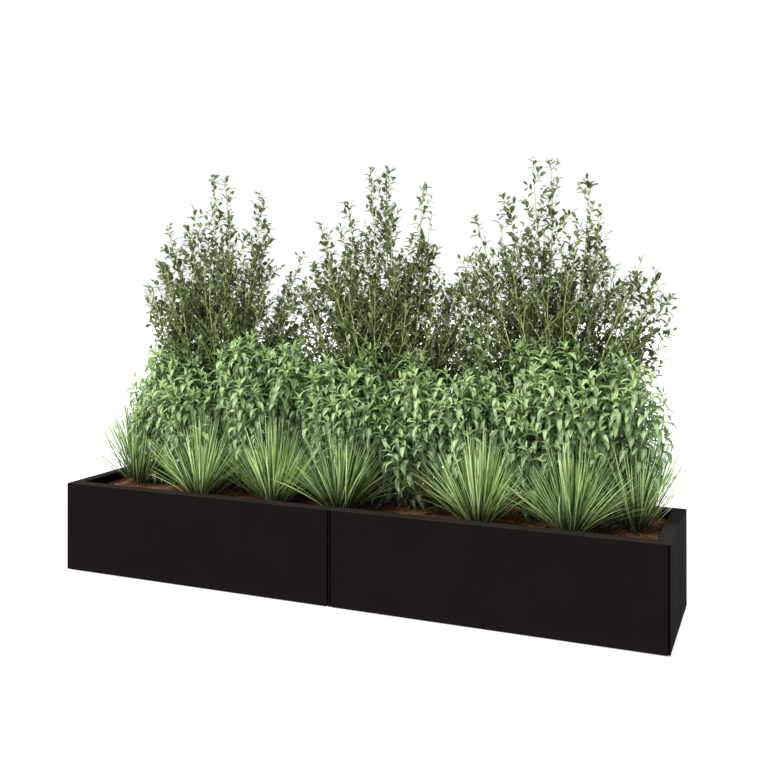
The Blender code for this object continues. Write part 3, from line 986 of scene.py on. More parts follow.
@dataclass
class Filling:
    """The growing medium with its loose crumbs, the fleece and the drainage granules."""

    soil: Earth = Earth((0.02, 0.009, 0.005), (0.19, 0.08, 0.035), (0.4, 0.19, 0.09))
    clay: Earth = Earth((0.12, 0.05, 0.03), (0.3, 0.13, 0.07), (0.42, 0.2, 0.12), 160.0, 0.003, (1.0, 1.3))
    fleece: Fleece = Fleece()
    crumb: Crumb = Crumb()
    wall_gap: float = 0.034
    cell: float = 0.011
    heave: float = 0.007
    lump_share: float = 0.28
    open_tint: float = 0.68
    mottling: float = 0.1
    side_tint: float = 0.3
    crumbs: int = 4900
    crumb_size: Range = (0.0016, 0.0062)
    fineness: float = 2.5
    crumb_stretch: Range = (0.5, 1.5)
    crumb_flatness: float = 0.7
    crumb_jitter: float = 0.25
    crumb_rise: float = 0.25
    crumb_tint: Range = (0.4, 1.0)
    strewn: Range = (0.995, 0.98)
    # Painted shadow: the medium is darkened in patches beside the planted nodes' feet, in place of the shadows
    # that the plants cast.
    painted_shadow_reach: Range = (0.16, 0.12)
    painted_shadow_shift: float = 0.07
    painted_shadow_depth: float = 0.9
    planted: tuple[str, ...] = ("grass_tuft", "leafy_shrub")
    seed: int = 11

    def build(self, nodes: dict[str, Object]) -> None:
        """Makes the filling's pieces and dresses its CAD nodes.

        Args:
            nodes: The frame's CAD nodes.
        """
        earth = self.soil.build("growing_medium")
        settle(self._ground(earth), Slot.MEDIUM, "growing_medium")
        settle(self._crumbs(earth), Slot.MEDIUM)
        dress(nodes["filter_fleece"], self.fleece.build("filter_fleece"))
        granules = self.clay.build("clay_granules")
        for side in ("left", "right"):
            dress(nodes[f"drainage_granules_{side}"], granules)

    def _reach(self) -> Range:
        """How far the medium reaches along x and y, up to the inner faces of the walls."""
        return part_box("end_panel_right")[1].x - self.wall_gap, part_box("rear_panel_left")[1].y - self.wall_gap

    def _surface(self, x: Array, y: Array) -> Array:
        """The height of the medium's uneven top over each point.

        Args:
            x: Places along the box.
            y: Places across it.

        Returns:
            The heights.
        """
        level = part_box("growing_medium")[1].z
        rolling = np.sin(x * 9.1 + 1.3) * np.cos(y * 13.7 - x * 3.1) + 0.6 * np.sin(x * 23.0 - y * 17.0)
        return level + self.heave * (0.45 * rolling - 0.35)

    def _painted_shadow_factor(self, x: Array, y: Array) -> Array:
        """How much of the medium's brightness the painted shadow leaves over each point: dark patches beside the
        plants' feet, shifted along +x away from the light, stand in for their cast shadows; 1 in the open.

        Args:
            x: Places along the box.
            y: Places across it.

        Returns:
            Shares from 0 to 1.
        """
        unshadowed = np.ones_like(x)
        reach_x, reach_y = self.painted_shadow_reach
        for name in sorted(frame["nodes"]):
            if name.startswith(self.planted):
                foot_x, foot_y = spot(name)
                away = ((x - foot_x - self.painted_shadow_shift) / reach_x) ** 2 + ((y - foot_y) / reach_y) ** 2
                unshadowed = np.minimum(unshadowed, 1 - self.painted_shadow_depth * np.exp(-(away**2)))
        return unshadowed

    def _ground(self, material: Material) -> Object:
        """The medium as one closed block with an uneven top.

        Args:
            material: Its finish.

        Returns:
            The new object.
        """
        random = np.random.default_rng(self.seed)
        reach_x, reach_y = self._reach()
        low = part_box("growing_medium")[0].z
        columns, rows = int(2 * reach_x / self.cell) + 1, int(2 * reach_y / self.cell) + 1
        x, y = np.meshgrid(np.linspace(-reach_x, reach_x, columns), np.linspace(-reach_y, reach_y, rows))
        lumps = random.normal(0, self.heave * self.lump_share, x.shape)
        top = np.stack([x, y, self._surface(x, y) + lumps], axis=-1)
        mottled = self.open_tint + random.normal(0, self.mottling, x.size)
        # The tint is random mottling times the painted shadow of the plants.
        tint = np.clip(self._painted_shadow_factor(x.ravel(), y.ravel()) * mottled, 0, 1)
        buffer = MeshBuffer()
        buffer.add(top, grid_faces(1, rows, columns), tint=tint)
        edge = np.concatenate([top[0, :-1], top[:-1, -1], top[-1, :0:-1], top[:0:-1, 0]])
        skirt = np.stack([edge * LEVEL + (0, 0, low), edge])
        buffer.add(skirt, grid_faces(1, 2, len(edge), closed=True), tint=self.side_tint)
        base = np.array([[-reach_x, -reach_y], [-reach_x, reach_y], [reach_x, reach_y], [reach_x, -reach_y]])
        buffer.add(np.column_stack([base, np.full(4, low)]), np.array([[0, 1, 2, 3]]), tint=self.side_tint)
        made = buffer.to_object("growing_medium_surface", material)
        weld(made)
        return made

    def _crumbs(self, material: Material) -> Object:
        """Loose crumbs and bark chips strewn over the medium.

        Args:
            material: Their finish.

        Returns:
            The new object.
        """
        random = np.random.default_rng(self.seed + 1)
        reach_x, reach_y = self._reach()
        ball, count = self.crumb.points(), self.crumbs
        x = random.uniform(-reach_x, reach_x, count) * self.strewn[0]
        y = random.uniform(-reach_y, reach_y, count) * self.strewn[1]
        small, large = self.crumb_size
        size = small + (large - small) * random.random(count) ** self.fineness
        stretch = random.uniform(*self.crumb_stretch, (count, 3)) * (1, 1, self.crumb_flatness)
        jitter = 1 + random.uniform(-self.crumb_jitter, self.crumb_jitter, (count, len(ball), 1))
        across, back, rise = np.moveaxis(ball[None] * jitter * stretch[:, None] * size[:, None, None], -1, 0)
        turn = random.uniform(0, FULL_TURN, count)
        cos, sin = np.cos(turn)[:, None], np.sin(turn)[:, None]
        lumps = np.stack([across * cos - back * sin, across * sin + back * cos, rise], axis=-1)
        centre = np.stack([x, y, self._surface(x, y) + size * self.crumb_rise], axis=-1)
        # The crumbs take the same painted shadow as the medium.
        tints = np.clip(random.uniform(*self.crumb_tint, count) * self._painted_shadow_factor(x, y), 0, 1)
        starts = (np.arange(count) * len(ball))[:, None, None]
        faces = (self.crumb.faces()[None] + starts).reshape(-1, 4)
        buffer = MeshBuffer()
        buffer.add(lumps + centre[:, None], faces, tint=np.repeat(tints, len(ball)))
        return buffer.to_object("growing_medium_crumbs", material)


# The planting


def spot(node: str) -> Range:
    """The middle of a CAD node, seen from above.

    Args:
        node: The node's name.

    Returns:
        Its x and y.
    """
    low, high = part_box(node)
    return (low.x + high.x) / 2, (low.y + high.y) / 2


@dataclass(frozen=True)
class Crown:
    """The outline that a shrub fills: its reach at each share of its height."""

    middle: Range
    low: float
    top: float
    reach_x: float
    reach_y: float = 0.24
    profile: Curve = Curve((0.0, 0.12, 0.4, 0.7, 0.9, 1.0), (0.75, 0.85, 0.92, 1.0, 0.9, 0.6))
    unevenness: float = 0.16
    dip: float = 0.16

    def point(self, share: Array, angle: Array, outward: Array, phase: float) -> Array:
        """Points in the crown.

        Args:
            share: Heights, from 0 at the soil to 1 at the top.
            angle: Directions.
            outward: Shares of the way from the axis to the outline.
            phase: Turns the crown's bulges, so that no two are alike.

        Returns:
            The points.
        """
        bulge = np.sin(3 * angle + phase + 5 * share) + 0.7 * np.sin(5 * angle - 2 * phase + 11 * share)
        reach = self.profile.at(share) * (1 + self.unevenness * bulge) * outward
        x = self.middle[0] + reach * self.reach_x * np.cos(angle)
        y = self.middle[1] + reach * self.reach_y * np.sin(angle)
        dips = np.sin(2 * angle + 1.7 * phase) + np.sin(5 * angle - phase)
        height = (self.top - self.low) * (1 - self.dip * (0.5 + 0.25 * dips))
        return np.stack([x, y, self.low + share * height], axis=-1)


@dataclass
class Plant:
    """What every plant has: the CAD node that it stands for, its own chance and its stems' mesh."""

    node: str
    seed: int

    def __post_init__(self) -> None:
        """Starts the plant's chance and its stems' mesh."""
        self.random = np.random.default_rng(self.seed)
        self.wood = MeshBuffer()

    def leaf_out(self, batch: LeafBatch, shape: LeafShape, name: str, skin: Material, slot: Slot) -> None:
        """Makes a piece of leaves that stands for the plant's node.

        Args:
            batch: The leaves.
            shape: Their shared outline.
            name: The last part of the piece's name.
            skin: Its finish.
            slot: The record's material slot.
        """
        settle(batch.build(shape, f"{self.node}_{name}", skin), slot, self.node)


@dataclass
class LeafyShrub(Plant):
    """A shrub of many shoots that branch off a few stems, with leaves in opposite pairs."""

    crown: Crown
    shoots: int
    stems: int = 7
    stem_steps: int = 14
    stem_radius: float = 0.009
    stem_lean: Range = (0.08, 0.42)
    stem_top: Range = (0.3, 0.98)
    twig_radius: float = 0.002
    twig_steps: int = 5
    shoot_length: Range = (0.12, 0.24)
    upright: float = 1.5
    stray: float = 0.2
    inner_share: float = 0.45
    front_low: float = 0.42
    front_from: float = -0.15
    node_gap: float = 0.031
    leaf_length: Range = (0.064, 0.094)
    leaf_ratio: float = 0.3
    leaf_shape: LeafShape = LeafShape(rows=7, columns=3, widest=0.42, tip_power=0.95, fold=0.45, ripple=0.16)
    gap_by_rank: Curve = Curve((0, 4), (0.42, 1.0))
    tilt_by_depth: Curve = Curve((0, 0.035, 0.1), (0.3, 0.85, 1.2))
    size_by_depth: Curve = Curve((0, 0.02, 0.05), (0.42, 0.7, 1.0))
    curl_by_depth: Curve = Curve((0, 0.03, 0.07), (0.15, 1.1, 2.1))
    fresh_by_depth: Curve = Curve((0, 0.02, 0.05, 0.2), (1.0, 0.78, 0.45, 0.3))
    # Painted shade: leaves low in the crown are darkened in place of the shade inside the hedge.
    fresh_by_height: Curve = Curve((0, 0.5, 1), (-0.4, -0.08, 0.0))
    turn_noise: float = 0.2
    tilt_noise: float = 0.13
    tint_noise: float = 0.18
    shoot_tint_noise: float = 0.08

    def grow(self, leaf: Material, bark: Material) -> None:
        """Makes the shrub's leaves and stems.

        Args:
            leaf: The finish of its leaves.
            bark: The finish of its stems.
        """
        phase = self.random.uniform(0, FULL_TURN)
        angle, lean, top = self._add_stems(phase)
        tips, aims = self._shoot_tips(phase)
        lengths = self.random.uniform(*self.shoot_length, self.shoots)
        starts = tips - aims * lengths[:, None]
        joints = self._joints(starts, angle, lean, top)
        reach = np.linalg.norm(starts - joints, axis=1, keepdims=True)
        rising = unit(UPWARDS + 0.5 * unit((starts - joints) * LEVEL))
        branch = hermite(joints, starts, rising * reach, aims * reach, self.twig_steps)
        onward = np.linspace(0, 1, self.twig_steps)[None, 1:, None] * lengths[:, None, None]
        path = np.concatenate([branch, starts[:, None] + aims[:, None] * onward], axis=1)
        taper = np.linspace(self.twig_radius * 2, self.twig_radius / 2, path.shape[1])
        ages = np.linspace(0.35, 1.0, path.shape[1])
        add_tubes(self.wood, path[in_room(path).all(axis=1)], taper, 5, ages)
        self.leaf_out(self._leaves(starts, aims, lengths), self.leaf_shape, "leaves", leaf, Slot.FRESH)
        settle(self.wood.to_object(f"{self.node}_stems", bark), Slot.FRESH)

    def _stem_point(self, angle: Array, lean: Array, share: Array) -> Array:
        """Points on the stems, which rise from the foot and lean out.

        Args:
            angle: Each stem's direction.
            lean: How far it leans out, as a share of the crown's reach.
            share: Heights, from 0 at the soil to 1 at the crown's top.

        Returns:
            The points.
        """
        crown = self.crown
        bow = lean * np.sin(np.clip(share, 0, 1) * math.pi / 2)
        axis = np.array([*crown.middle, crown.low]) + UPWARDS * (crown.top - crown.low) * share[..., None]
        return axis + around(angle) * (crown.reach_x, crown.reach_y, 0.0) * bow[..., None]

    def _add_stems(self, phase: float) -> tuple[Array, Array, Array]:
        """Builds the main stems.

        Args:
            phase: The first stem's direction.

        Returns:
            Each stem's direction, lean and top.
        """
        count, steps, random = self.stems, self.stem_steps, self.random
        angle = phase + np.arange(count) * GOLDEN_ANGLE + random.uniform(-0.3, 0.3, count)
        lean = random.uniform(*self.stem_lean, count)
        top = np.clip(1.02 - lean * 0.55 - random.uniform(0, 0.12, count), *self.stem_top)
        share = np.linspace(-0.01, 1, steps)[None] * top[:, None]
        paths = self._stem_point(angle[:, None], lean[:, None], share)
        radii = self.stem_radius * np.linspace(1, 0.22, steps)[None] * random.uniform(0.7, 1.1, (count, 1))
        add_tubes(self.wood, paths, radii, 8, np.linspace(0, 0.75, steps))
        return angle, lean, top

    def _shoot_tips(self, phase: float) -> tuple[Array, Array]:
        """Spreads the shoots over the crown, more of them where it is wide.

        Args:
            phase: Turns the crown's bulges.

        Returns:
            Where each shoot ends and the direction that it points in.
        """
        count, random = self.shoots, self.random
        heights = np.linspace(0, 1, 200)
        weight = self.crown.profile.at(heights) ** 1.6 + 0.03
        share = np.interp(random.random(count), np.cumsum(weight) / weight.sum(), heights)
        angle = random.uniform(0, FULL_TURN, count)
        in_front = np.sin(angle) < self.front_from
        share = np.where(in_front, self.front_low + (1 - self.front_low) * share, share)
        outward = self.inner_share + (1 - self.inner_share) * np.sqrt(random.random(count))
        spreading = around(angle) * (outward * (1 - 0.55 * share))[:, None]
        aims = unit(spreading + UPWARDS * self.upright + random.normal(0, self.stray, (count, 3)))
        return self.crown.point(share, angle, outward, phase), aims

    def _joints(self, starts: Array, angle: Array, lean: Array, top: Array) -> Array:
        """Finds where each shoot's branch leaves its stem: on the nearest one, some way below the shoot.

        Args:
            starts: Where each shoot starts.
            angle: Each stem's direction.
            lean: Each stem's lean.
            top: The share of the crown's height that each stem reaches.

        Returns:
            A point for each shoot.
        """
        crown = self.crown
        away = np.linalg.norm(starts[:, :2] - crown.middle, axis=1)
        below = away * self.random.uniform(0.7, 1.3, len(starts))
        share = (starts[:, 2] - crown.low - below) / (crown.top - crown.low)
        held = np.minimum(np.clip(share, 0.02, None)[:, None], top[None])
        spots = self._stem_point(angle[None], lean[None], held)
        gaps = np.linalg.norm(spots - starts[:, None], axis=2)
        return spots[np.arange(len(starts)), np.argmin(gaps, axis=1)]

    def _leaves(self, starts: Array, aims: Array, lengths: Array) -> LeafBatch:
        """Opposite pairs of leaves down each shoot, each pair a quarter turn from the last.

        Args:
            starts: Where each shoot starts.
            aims: The direction that it points in.
            lengths: Its length.

        Returns:
            The leaves: small, upright and fresh at the tip, and larger, darker and arching below it.
        """
        random = self.random
        ranks = np.arange(int(self.shoot_length[1] / self.node_gap / self.gap_by_rank.values[0]) + 1)
        gaps = self.node_gap * self.gap_by_rank.at(ranks)
        below = np.cumsum(gaps)[None] - gaps[0] + random.uniform(0, 0.006, (self.shoots, 1))
        shoot, rank = np.nonzero(below < lengths[:, None])
        shoot, rank = np.repeat(shoot, 2), np.repeat(rank, 2)
        count = len(shoot)
        depth, aim = below[shoot, rank], aims[shoot]
        first = unit(np.cross(aim, OBLIQUE))
        turn = np.tile([0.0, math.pi], count // 2) + rank * math.pi / 2
        turn = turn + random.uniform(0, FULL_TURN, self.shoots)[shoot]
        turn = turn + random.normal(0, self.turn_noise, count)
        out = turned(first, np.cross(aim, first), turn)
        tilt = self.tilt_by_depth.at(depth) + random.normal(0, self.tilt_noise, count)
        size = random.uniform(*self.leaf_length, count) * self.size_by_depth.at(depth)
        curl = self.curl_by_depth.at(depth) * random.uniform(0.75, 1.2, count)
        height = (starts[shoot, 2] - self.crown.low) / (self.crown.top - self.crown.low)
        fresh = self.fresh_by_depth.at(depth) + random.normal(0, self.tint_noise, count)
        # Painted shade: lower leaves get a darker tint.
        fresh = fresh + self.fresh_by_height.at(height)
        fresh = fresh + random.normal(0, self.shoot_tint_noise, self.shoots)[shoot]
        return LeafBatch(
            origin=starts[shoot] + aim * (lengths[shoot] - depth)[:, None],
            axis=turned(aim, out, tilt),
            up=aim + UPWARDS * 0.8,
            length=size,
            width=size * self.leaf_ratio * random.uniform(0.85, 1.15, count),
            curl=curl,
            tint=np.clip(fresh, 0, 1),
        )


@dataclass
class TallShrub(Plant):
    """A tall shrub: leaders fan up from one foot, side twigs grow all along them, small leaves on those."""

    foot: Range
    level: float
    leaders: tuple[tuple[float, float, float], ...]
    steps: int = 16
    leader_radius: float = 0.0072
    flatness: float = 0.85
    sway: float = 0.012
    bare: float = 0.07
    end_share: float = 0.965
    twig_gap: float = 0.026
    twig_crowding: float = 1.4
    twig_steps: int = 4
    twig_radius: float = 0.0021
    twig_spread: Range = (0.45, 1.05)
    twig_rise: float = 0.12
    twig_length: Curve = Curve((0.07, 0.4, 0.65, 0.85, 1.0), (0.2, 0.25, 0.21, 0.095, 0.04))
    leaf_gap: float = 0.0145
    leaf_length: Range = (0.03, 0.046)
    leaf_ratio: float = 0.5
    leaf_curl: Range = (0.0, 0.55)
    leaf_shape: LeafShape = LeafShape(rows=5, columns=3, widest=0.55, tip_power=0.62, fold=0.25)
    tilt_by_share: Curve = Curve((0, 0.8, 1), (1.05, 0.8, 0.35))
    size_by_share: Curve = Curve((0, 0.7, 1), (1, 0.95, 0.7))
    turn_noise: float = 0.3
    tilt_noise: float = 0.2
    foot_tint: float = 0.15
    tint_rise: float = 0.3
    tint_noise: float = 0.28
    twig_tint_noise: float = 0.08
    # Painted highlight: a few leaves are lifted to the pale end of the ramp in place of glossy reflections.
    painted_sheen_share: float = 0.08
    painted_sheen_lift: float = 0.6

    def grow(self, leaf: Material, bark: Material) -> None:
        """Makes the shrub's leaves, in a lower and an upper piece, and its stems.

        Args:
            leaf: The finish of its leaves.
            bark: The finish of its stems.
        """
        paths = self._leader_paths()
        taper = np.linspace(1.0, 0.16, self.steps)[None] * self.leader_radius
        radii = taper * self.random.uniform(0.7, 1.1, (len(paths), 1))
        add_tubes(self.wood, paths, radii, 7, np.linspace(0.05, 1.0, self.steps))
        starts, aims, lengths = self._twigs(paths)
        along = np.linspace(0, 1, self.twig_steps)
        rise = UPWARDS * self.twig_rise * along[None, :, None] ** 2
        twigs = starts[:, None] + (aims[:, None] * along[None, :, None] + rise) * lengths[:, None, None]
        twigs = twigs[in_room(twigs).all(axis=1)]
        add_tubes(self.wood, twigs, self.twig_radius * (1 - 0.55 * along), 4, 0.6 + 0.4 * along)
        batch = self._leaves(starts, aims, lengths)
        high = batch.origin[:, 2] > np.median(batch.origin[:, 2])
        for part, chosen in (("lower", ~high), ("upper", high)):
            self.leaf_out(batch.kept(chosen), self.leaf_shape, f"leaves_{part}", leaf, Slot.DARK)
        settle(self.wood.to_object(f"{self.node}_stems", bark), Slot.DARK)

    def _leader_paths(self) -> Array:
        """The leaders' curves from the foot to their ends.

        Returns:
            A row of points for each leader.
        """
        random, steps = self.random, self.steps
        foot = np.array([*self.foot, 0.0])
        tips = np.array(self.leaders) * (1, self.flatness, 1) + foot
        count = len(tips)
        tips = tips + random.normal(0, 0.008, (count, 3)) * LEVEL
        outward = (tips - foot) * LEVEL
        scatter = random.normal(0, 0.012, (count, 3)) * LEVEL
        start = foot + UPWARDS * (self.level - 0.01) + outward * 0.12 + scatter
        height = (tips - start) * UPWARDS
        arriving = outward * (0.95, 0.3, 0) + height * 0.85
        paths = hermite(start, tips, outward * 0.75 + height, arriving, steps)
        share = np.linspace(0, 1, steps)
        phase = random.uniform(0, FULL_TURN, (count, 1, 3))
        waves = np.sin(share[None, :, None] * random.uniform(7, 15, (count, 1, 3)) + phase) * (1, 0.7, 0)
        return paths + waves * self.sway * np.sin(share * math.pi)[None, :, None]

    def _twigs(self, paths: Array) -> tuple[Array, Array, Array]:
        """Side twigs all along the leaders, and one at each leader's end that carries on upwards.

        Args:
            paths: The leaders' points.

        Returns:
            Where each twig starts, the direction it takes and its length.
        """
        random, leaders = self.random, len(paths)
        spans = np.linalg.norm(np.diff(paths, axis=1), axis=2).sum(axis=1)
        counts = (spans * (1 - self.bare) / self.twig_gap).astype(int)
        leader = np.concatenate([np.repeat(np.arange(leaders), counts), np.arange(leaders)])
        share = self.bare + (1 - self.bare) * random.random(counts.sum()) ** self.twig_crowding
        share = np.concatenate([share, np.full(leaders, self.end_share)])
        count = len(leader)
        place = share * (self.steps - 1)
        before = np.minimum(place.astype(int), self.steps - 2)
        step = (place - before)[:, None]
        starts = paths[leader, before] * (1 - step) + paths[leader, before + 1] * step
        tangent = unit(paths[leader, before + 1] - paths[leader, before])
        first = unit(np.cross(tangent, (0.3, 0.8, 0.2)))
        out = turned(first, np.cross(tangent, first), random.uniform(0, FULL_TURN, count))
        spread = random.uniform(*self.twig_spread, count) * (share != self.end_share)
        aims = unit(turned(tangent, out, spread) * (1, 0.8, 1) + UPWARDS * 0.18)
        return starts, aims, self.twig_length.at(share) * random.uniform(0.45, 1.15, count)

    def _leaves(self, starts: Array, aims: Array, lengths: Array) -> LeafBatch:
        """Leaves up each twig, each turned by the golden angle from the last.

        Args:
            starts: Where each twig starts.
            aims: The direction that it takes.
            lengths: Its length.

        Returns:
            The leaves.
        """
        random = self.random
        ranks = np.arange(int(lengths.max() / self.leaf_gap) + 1)
        level = (ranks[None] + random.random((len(starts), 1))) * self.leaf_gap
        twig, rank = np.nonzero(level < lengths[:, None])
        count = len(twig)
        reach, aim = level[twig, rank], aims[twig]
        share = reach / lengths[twig]
        first = unit(np.cross(aim, OBLIQUE))
        turn = rank * GOLDEN_ANGLE + random.uniform(0, FULL_TURN, len(starts))[twig]
        turn = turn + random.normal(0, self.turn_noise, count)
        out = turned(first, np.cross(aim, first), turn)
        tilt = self.tilt_by_share.at(share) + random.normal(0, self.tilt_noise, count)
        size = random.uniform(*self.leaf_length, count) * self.size_by_share.at(share)
        tint = self.foot_tint + self.tint_rise * share + random.normal(0, self.tint_noise, count)
        tint = tint + random.normal(0, self.twig_tint_noise, len(starts))[twig]
        # Painted highlight on a random few leaves.
        tint = tint + np.where(random.random(count) < self.painted_sheen_share, self.painted_sheen_lift, 0.0)
        return LeafBatch(
            origin=starts[twig] + aim * reach[:, None] + UPWARDS * self.twig_rise * (reach * share)[:, None],
            axis=turned(aim, out, tilt),
            up=aim + UPWARDS * 0.7,
            length=size,
            width=size * self.leaf_ratio * random.uniform(0.85, 1.15, count),
            curl=random.uniform(*self.leaf_curl, count),
            tint=np.clip(tint, 0, 1),
        )


@dataclass
class GrassTuft(Plant):
    """A tuft of fine arching blades that fan out from one foot."""

    foot: Range
    level: float
    height: float
    spread: float = 1.3
    lean_share: float = 0.72
    blades: int = 400
    flatness: float = 0.55
    foot_radius: float = 0.07
    foot_stray: float = 0.3
    sink: float = 0.004
    stray: float = 0.035
    twist: float = 0.25
    blade_length: Range = (0.74, 1.08)
    shorter: float = 0.18
    blade_width: Range = (0.003, 0.0066)
    blade_curl: Range = (-0.1, 0.45)
    # Partly random colour from blade to blade, partly painted shade: the range reaches below 0, so many blades
    # clip to the dark body colour in place of unlit blades.
    blade_tint: Range = (-0.35, 1.2)
    shape: LeafShape = LeafShape(rows=9, columns=3, widest=0.45, tip_power=0.5, fold=0.35)

    def grow(self, skin: Material) -> None:
        """Makes the tuft as one piece.

        Args:
            skin: The blades' finish.
        """
        count, random = self.blades, self.random
        angle = random.uniform(0, FULL_TURN, count)
        lean = self.spread * random.random(count)
        radius = self.foot_radius * np.sqrt(random.random(count)) * (0.4 + 0.6 * lean / self.spread)
        away = around(angle + random.normal(0, self.foot_stray, count)) * radius[:, None]
        out = around(angle) * (1, self.flatness, 1)
        tilt = lean * self.lean_share
        length = self.height * random.uniform(*self.blade_length, count) * (1 - self.shorter * lean)
        batch = LeafBatch(
            origin=np.array([*self.foot, self.level - self.sink]) + away,
            axis=turned(UPWARDS, out, tilt) + random.normal(0, self.stray, (count, 3)),
            up=turned(-out, UPWARDS, tilt + 0.05) + random.normal(0, self.twist, (count, 3)),
            length=length,
            width=random.uniform(*self.blade_width, count),
            curl=lean * random.uniform(*self.blade_curl, count),
            tint=np.clip(random.uniform(*self.blade_tint, count), 0, 1),
        )
        self.leaf_out(batch, self.shape, "blades", skin, Slot.GRASS)


@dataclass
class Planting:
    """Every plant in the box: tall shrubs behind, leafy shrubs between, grasses along the front."""

    tall_skin: LeafSkin = LeafSkin(
        shaded=(0.014, 0.028, 0.008), middle=(0.085, 0.125, 0.046), fresh=(0.34, 0.43, 0.24),
        rib=(0.26, 0.32, 0.17), through=(0.22, 0.34, 0.07), roughness=0.36, specular=0.15,
    )
    leafy_skin: LeafSkin = LeafSkin(
        shaded=(0.06, 0.105, 0.042), middle=(0.36, 0.49, 0.24), fresh=(0.48, 0.66, 0.24),
        rib=(0.56, 0.66, 0.42), through=(0.36, 0.56, 0.18), specular=0.3,
    )
    blade_skin: BladeSkin = BladeSkin(
        # The foot colour is painted shade for the tuft's dense base.
        foot=(0.005, 0.01, 0.003), body=(0.03, 0.1, 0.013), pale=(0.65, 0.85, 0.35), tip=(0.68, 0.76, 0.48),
    )
    tall_bark: Bark = Bark((0.1, 0.085, 0.05), (0.36, 0.43, 0.15))
    leafy_bark: Bark = Bark((0.07, 0.05, 0.03), (0.13, 0.2, 0.05))
    leaders: tuple[tuple[float, float, float], ...] = (
        (-0.12, 0.08, 2.06), (-0.04, 0.13, 2.06), (0.03, 0.02, 1.8), (0.15, 0.14, 1.96),
        (0.2, 0.13, 1.82), (0.11, 0.03, 1.72), (-0.25, 0.09, 1.88), (-0.39, 0.07, 1.78),
        (-0.3, 0.1, 1.78), (-0.19, 0.0, 1.7), (0.37, 0.18, 1.6), (0.46, 0.08, 1.5),
        (0.27, 0.05, 1.56), (0.23, -0.05, 1.6), (-0.4, -0.01, 1.58), (-0.43, 0.1, 1.53),
        (0.45, 0.02, 1.42), (0.5, 0.0, 1.27), (-0.48, 0.0, 1.42), (-0.49, 0.06, 1.26),
        (-0.07, -0.12, 1.62), (-0.27, -0.15, 1.56), (0.1, -0.17, 1.53), (0.33, -0.14, 1.44),
        (-0.06, 0.21, 1.66), (-0.27, 0.19, 1.56), (-0.14, -0.2, 1.44), (0.28, 0.2, 1.45),
        (0.02, 0.21, 1.45), (-0.37, -0.14, 1.42), (0.17, -0.2, 1.36), (-0.2, 0.22, 1.4),
        (0.4, -0.1, 1.3), (0.03, -0.2, 1.46), (0.5, 0.12, 1.42), (0.36, 0.12, 1.5),
        (-0.5, 0.12, 1.46), (-0.44, -0.08, 1.46), (-0.34, 0.02, 1.62), (0.18, 0.1, 1.66),
        (-0.15, 0.1, 1.72), (0.44, -0.04, 1.36), (-0.2, -0.05, 1.6), (0.08, 0.12, 1.56),
    )
    tall_row: float = 0.13
    tall_shifts: tuple[float, ...] = (0.01, 0.024, -0.04)
    tall_seed: int = 101
    leafy_row: float = 0.05
    leafy_tops: tuple[float, ...] = (1.2, 1.29, 1.21, 1.22, 1.29)
    leafy_reaches: tuple[float, ...] = (0.34, 0.3, 0.32, 0.34, 0.36)
    leafy_shoots: int = 840
    leafy_overshoot: float = 0.02
    leafy_seed: int = 201
    tuft_height: float = 0.45
    end_tuft_height: float = 0.5
    tuft_setback: float = 0.05
    tuft_seed: int = 301

    def grow(self, level: float) -> None:
        """Makes every plant.

        Args:
            level: The height of the soil.
        """
        self._grow_tall(level)
        self._grow_leafy(level)
        self._grow_grass(level)

    def _grow_tall(self, level: float) -> None:
        """Makes the tall shrubs along the back.

        Args:
            level: The height of the soil.
        """
        leaf = self.tall_skin.build("tall_shrub_leaf")
        bark = self.tall_bark.build("tall_shrub_bark")
        for number, shift in enumerate(self.tall_shifts, start=1):
            node = f"tall_shrub_{number}"
            foot = (spot(node)[0] + shift, self.tall_row)
            TallShrub(node, self.tall_seed + number, foot, level, self.leaders).grow(leaf, bark)

    def _grow_leafy(self, level: float) -> None:
        """Makes the leafy shrubs along the middle.

        Args:
            level: The height of the soil.
        """
        leaf = self.leafy_skin.build("leafy_shrub_leaf")
        bark = self.leafy_bark.build("leafy_shrub_bark")
        for number, (top, reach) in enumerate(zip(self.leafy_tops, self.leafy_reaches), start=1):
            node = f"leafy_shrub_{number}"
            foot = (spot(node)[0], self.leafy_row)
            crown = Crown(foot, level, top - self.leafy_overshoot, reach)
            shoots = int(self.leafy_shoots * reach)
            LeafyShrub(node, self.leafy_seed + number, crown, shoots).grow(leaf, bark)

    def _grow_grass(self, level: float) -> None:
        """Makes the grasses along the front and at the ends.

        Args:
            level: The height of the soil.
        """
        skin = self.blade_skin.build("grass_blade")
        tufts = sorted(name for name in frame["nodes"] if name.startswith("grass_tuft"))
        for number, node in enumerate(tufts, start=1):
            x, y = spot(node)
            height = self.end_tuft_height
            if number not in (1, len(tufts)):
                y, height = y + self.tuft_setback, self.tuft_height
            GrassTuft(node, self.tuft_seed + number, (x, y), level, height).grow(skin)


# The studio


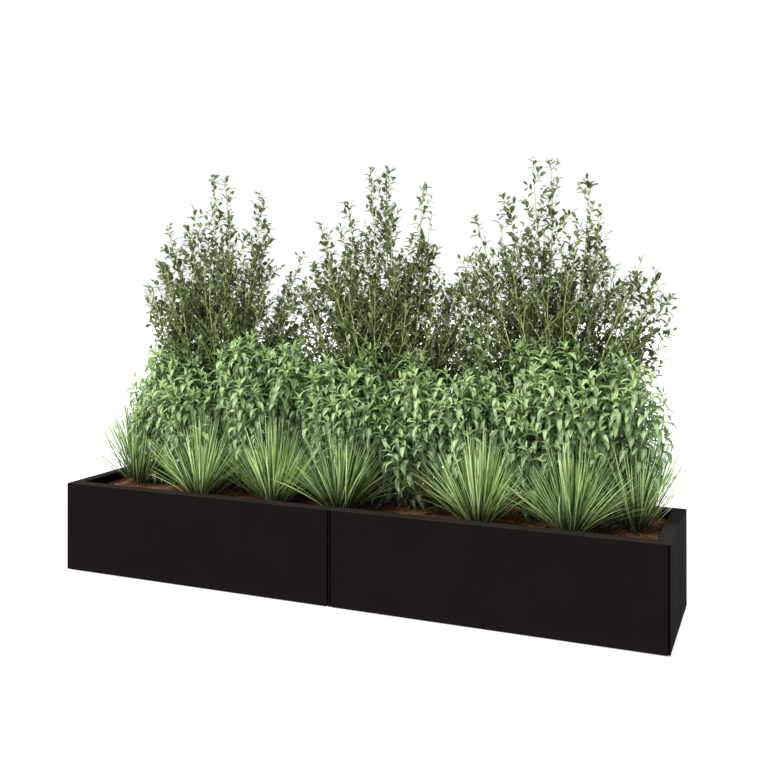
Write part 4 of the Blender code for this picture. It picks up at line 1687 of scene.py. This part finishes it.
@dataclass
class Studio:
    """A plain pale floor, soft light and the camera."""

    eye: tuple[float, float, float] = (1.935, -4.273, 1.493)
    heading: float = math.radians(22.84)
    lens: float = 45.19
    sensor: float = 36.0
    shift_up: float = -0.1348
    farthest: float = 200.0
    white: tuple[float, float, float, float] = (1.0, 1.0, 1.0, 1.0)
    sky: float = 1.0
    floor_size: float = 60.0
    floor_tone: float = 0.5
    floor_mottling: float = 0.02
    floor_glow: float = 0.74
    key_from: tuple[float, float, float] = (-0.6, -0.6, 0.85)
    key_strength: float = 4.7
    key_softness: float = math.radians(14)

    def build(self) -> None:
        """Makes the floor, the lights and the camera."""
        self._floor()
        self._sky()
        self._key()
        self._camera()
        bpy.context.scene.view_settings.view_transform = "Standard"

    @staticmethod
    def _add(name: str, data: bpy.types.ID) -> Object:
        """Adds an object to the scene.

        Args:
            name: Its name.
            data: Its mesh, light or camera.

        Returns:
            The new object.
        """
        made = bpy.data.objects.new(name, data)
        bpy.context.scene.collection.objects.link(made)
        return made

    def _floor(self) -> None:
        """A wide pale floor under the box."""
        half = self.floor_size / 2
        mesh = bpy.data.meshes.new("studio_floor")
        corners = [(-half, -half, 0), (half, -half, 0), (half, half, 0), (-half, half, 0)]
        mesh.from_pydata(corners, [], [(0, 1, 2, 3)])
        g = Graph("studio_floor")
        darker, lighter = (self.floor_tone,) * 3, (self.floor_tone + self.floor_mottling,) * 3
        g.shade("Base Color", g.ramp(g.noise(0.8), ((0.0, darker), (1.0, lighter))))
        g.set(Roughness=1.0, Specular_IOR_Level=0.0, Emission_Strength=self.floor_glow)
        g.shader.inputs["Emission Color"].default_value = self.white
        mesh.materials.append(g.material)
        floor = self._add("studio_floor", mesh)

    def _sky(self) -> None:
        """Even white light from all round."""
        world = bpy.data.worlds.new("studio_sky")
        world.use_nodes = True
        shade = world.node_tree.nodes["Background"]
        shade.inputs["Color"].default_value = self.white
        shade.inputs["Strength"].default_value = self.sky
        bpy.context.scene.world = world

    def _key(self) -> None:
        """A broad sun from the upper left."""
        light = bpy.data.lights.new("studio_key", "SUN")
        light.energy = self.key_strength
        light.angle = self.key_softness
        lamp = self._add("studio_key", light)
        lamp.rotation_euler = Vector(self.key_from).to_track_quat("Z", "Y").to_euler()

    def _camera(self) -> None:
        """A level camera with its shift set, so that upright edges stay upright."""
        data = bpy.data.cameras.new("studio_camera")
        data.lens = self.lens
        data.sensor_width = self.sensor
        data.shift_y = self.shift_up
        data.clip_end = self.farthest
        camera = self._add("studio_camera", data)
        camera.location = self.eye
        camera.rotation_euler = (math.pi / 2, 0.0, self.heading)
        bpy.context.scene.camera = camera


def main() -> None:
    """Builds the looks in order."""
    logging.basicConfig(level=logging.INFO, format="%(name)s: %(message)s")
    Studio().build()
    BoxShell().dress_all(frame["nodes"])
    Filling().build(frame["nodes"])
    Planting().grow(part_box("growing_medium")[1].z)


if __name__ == "__main__":
    main()
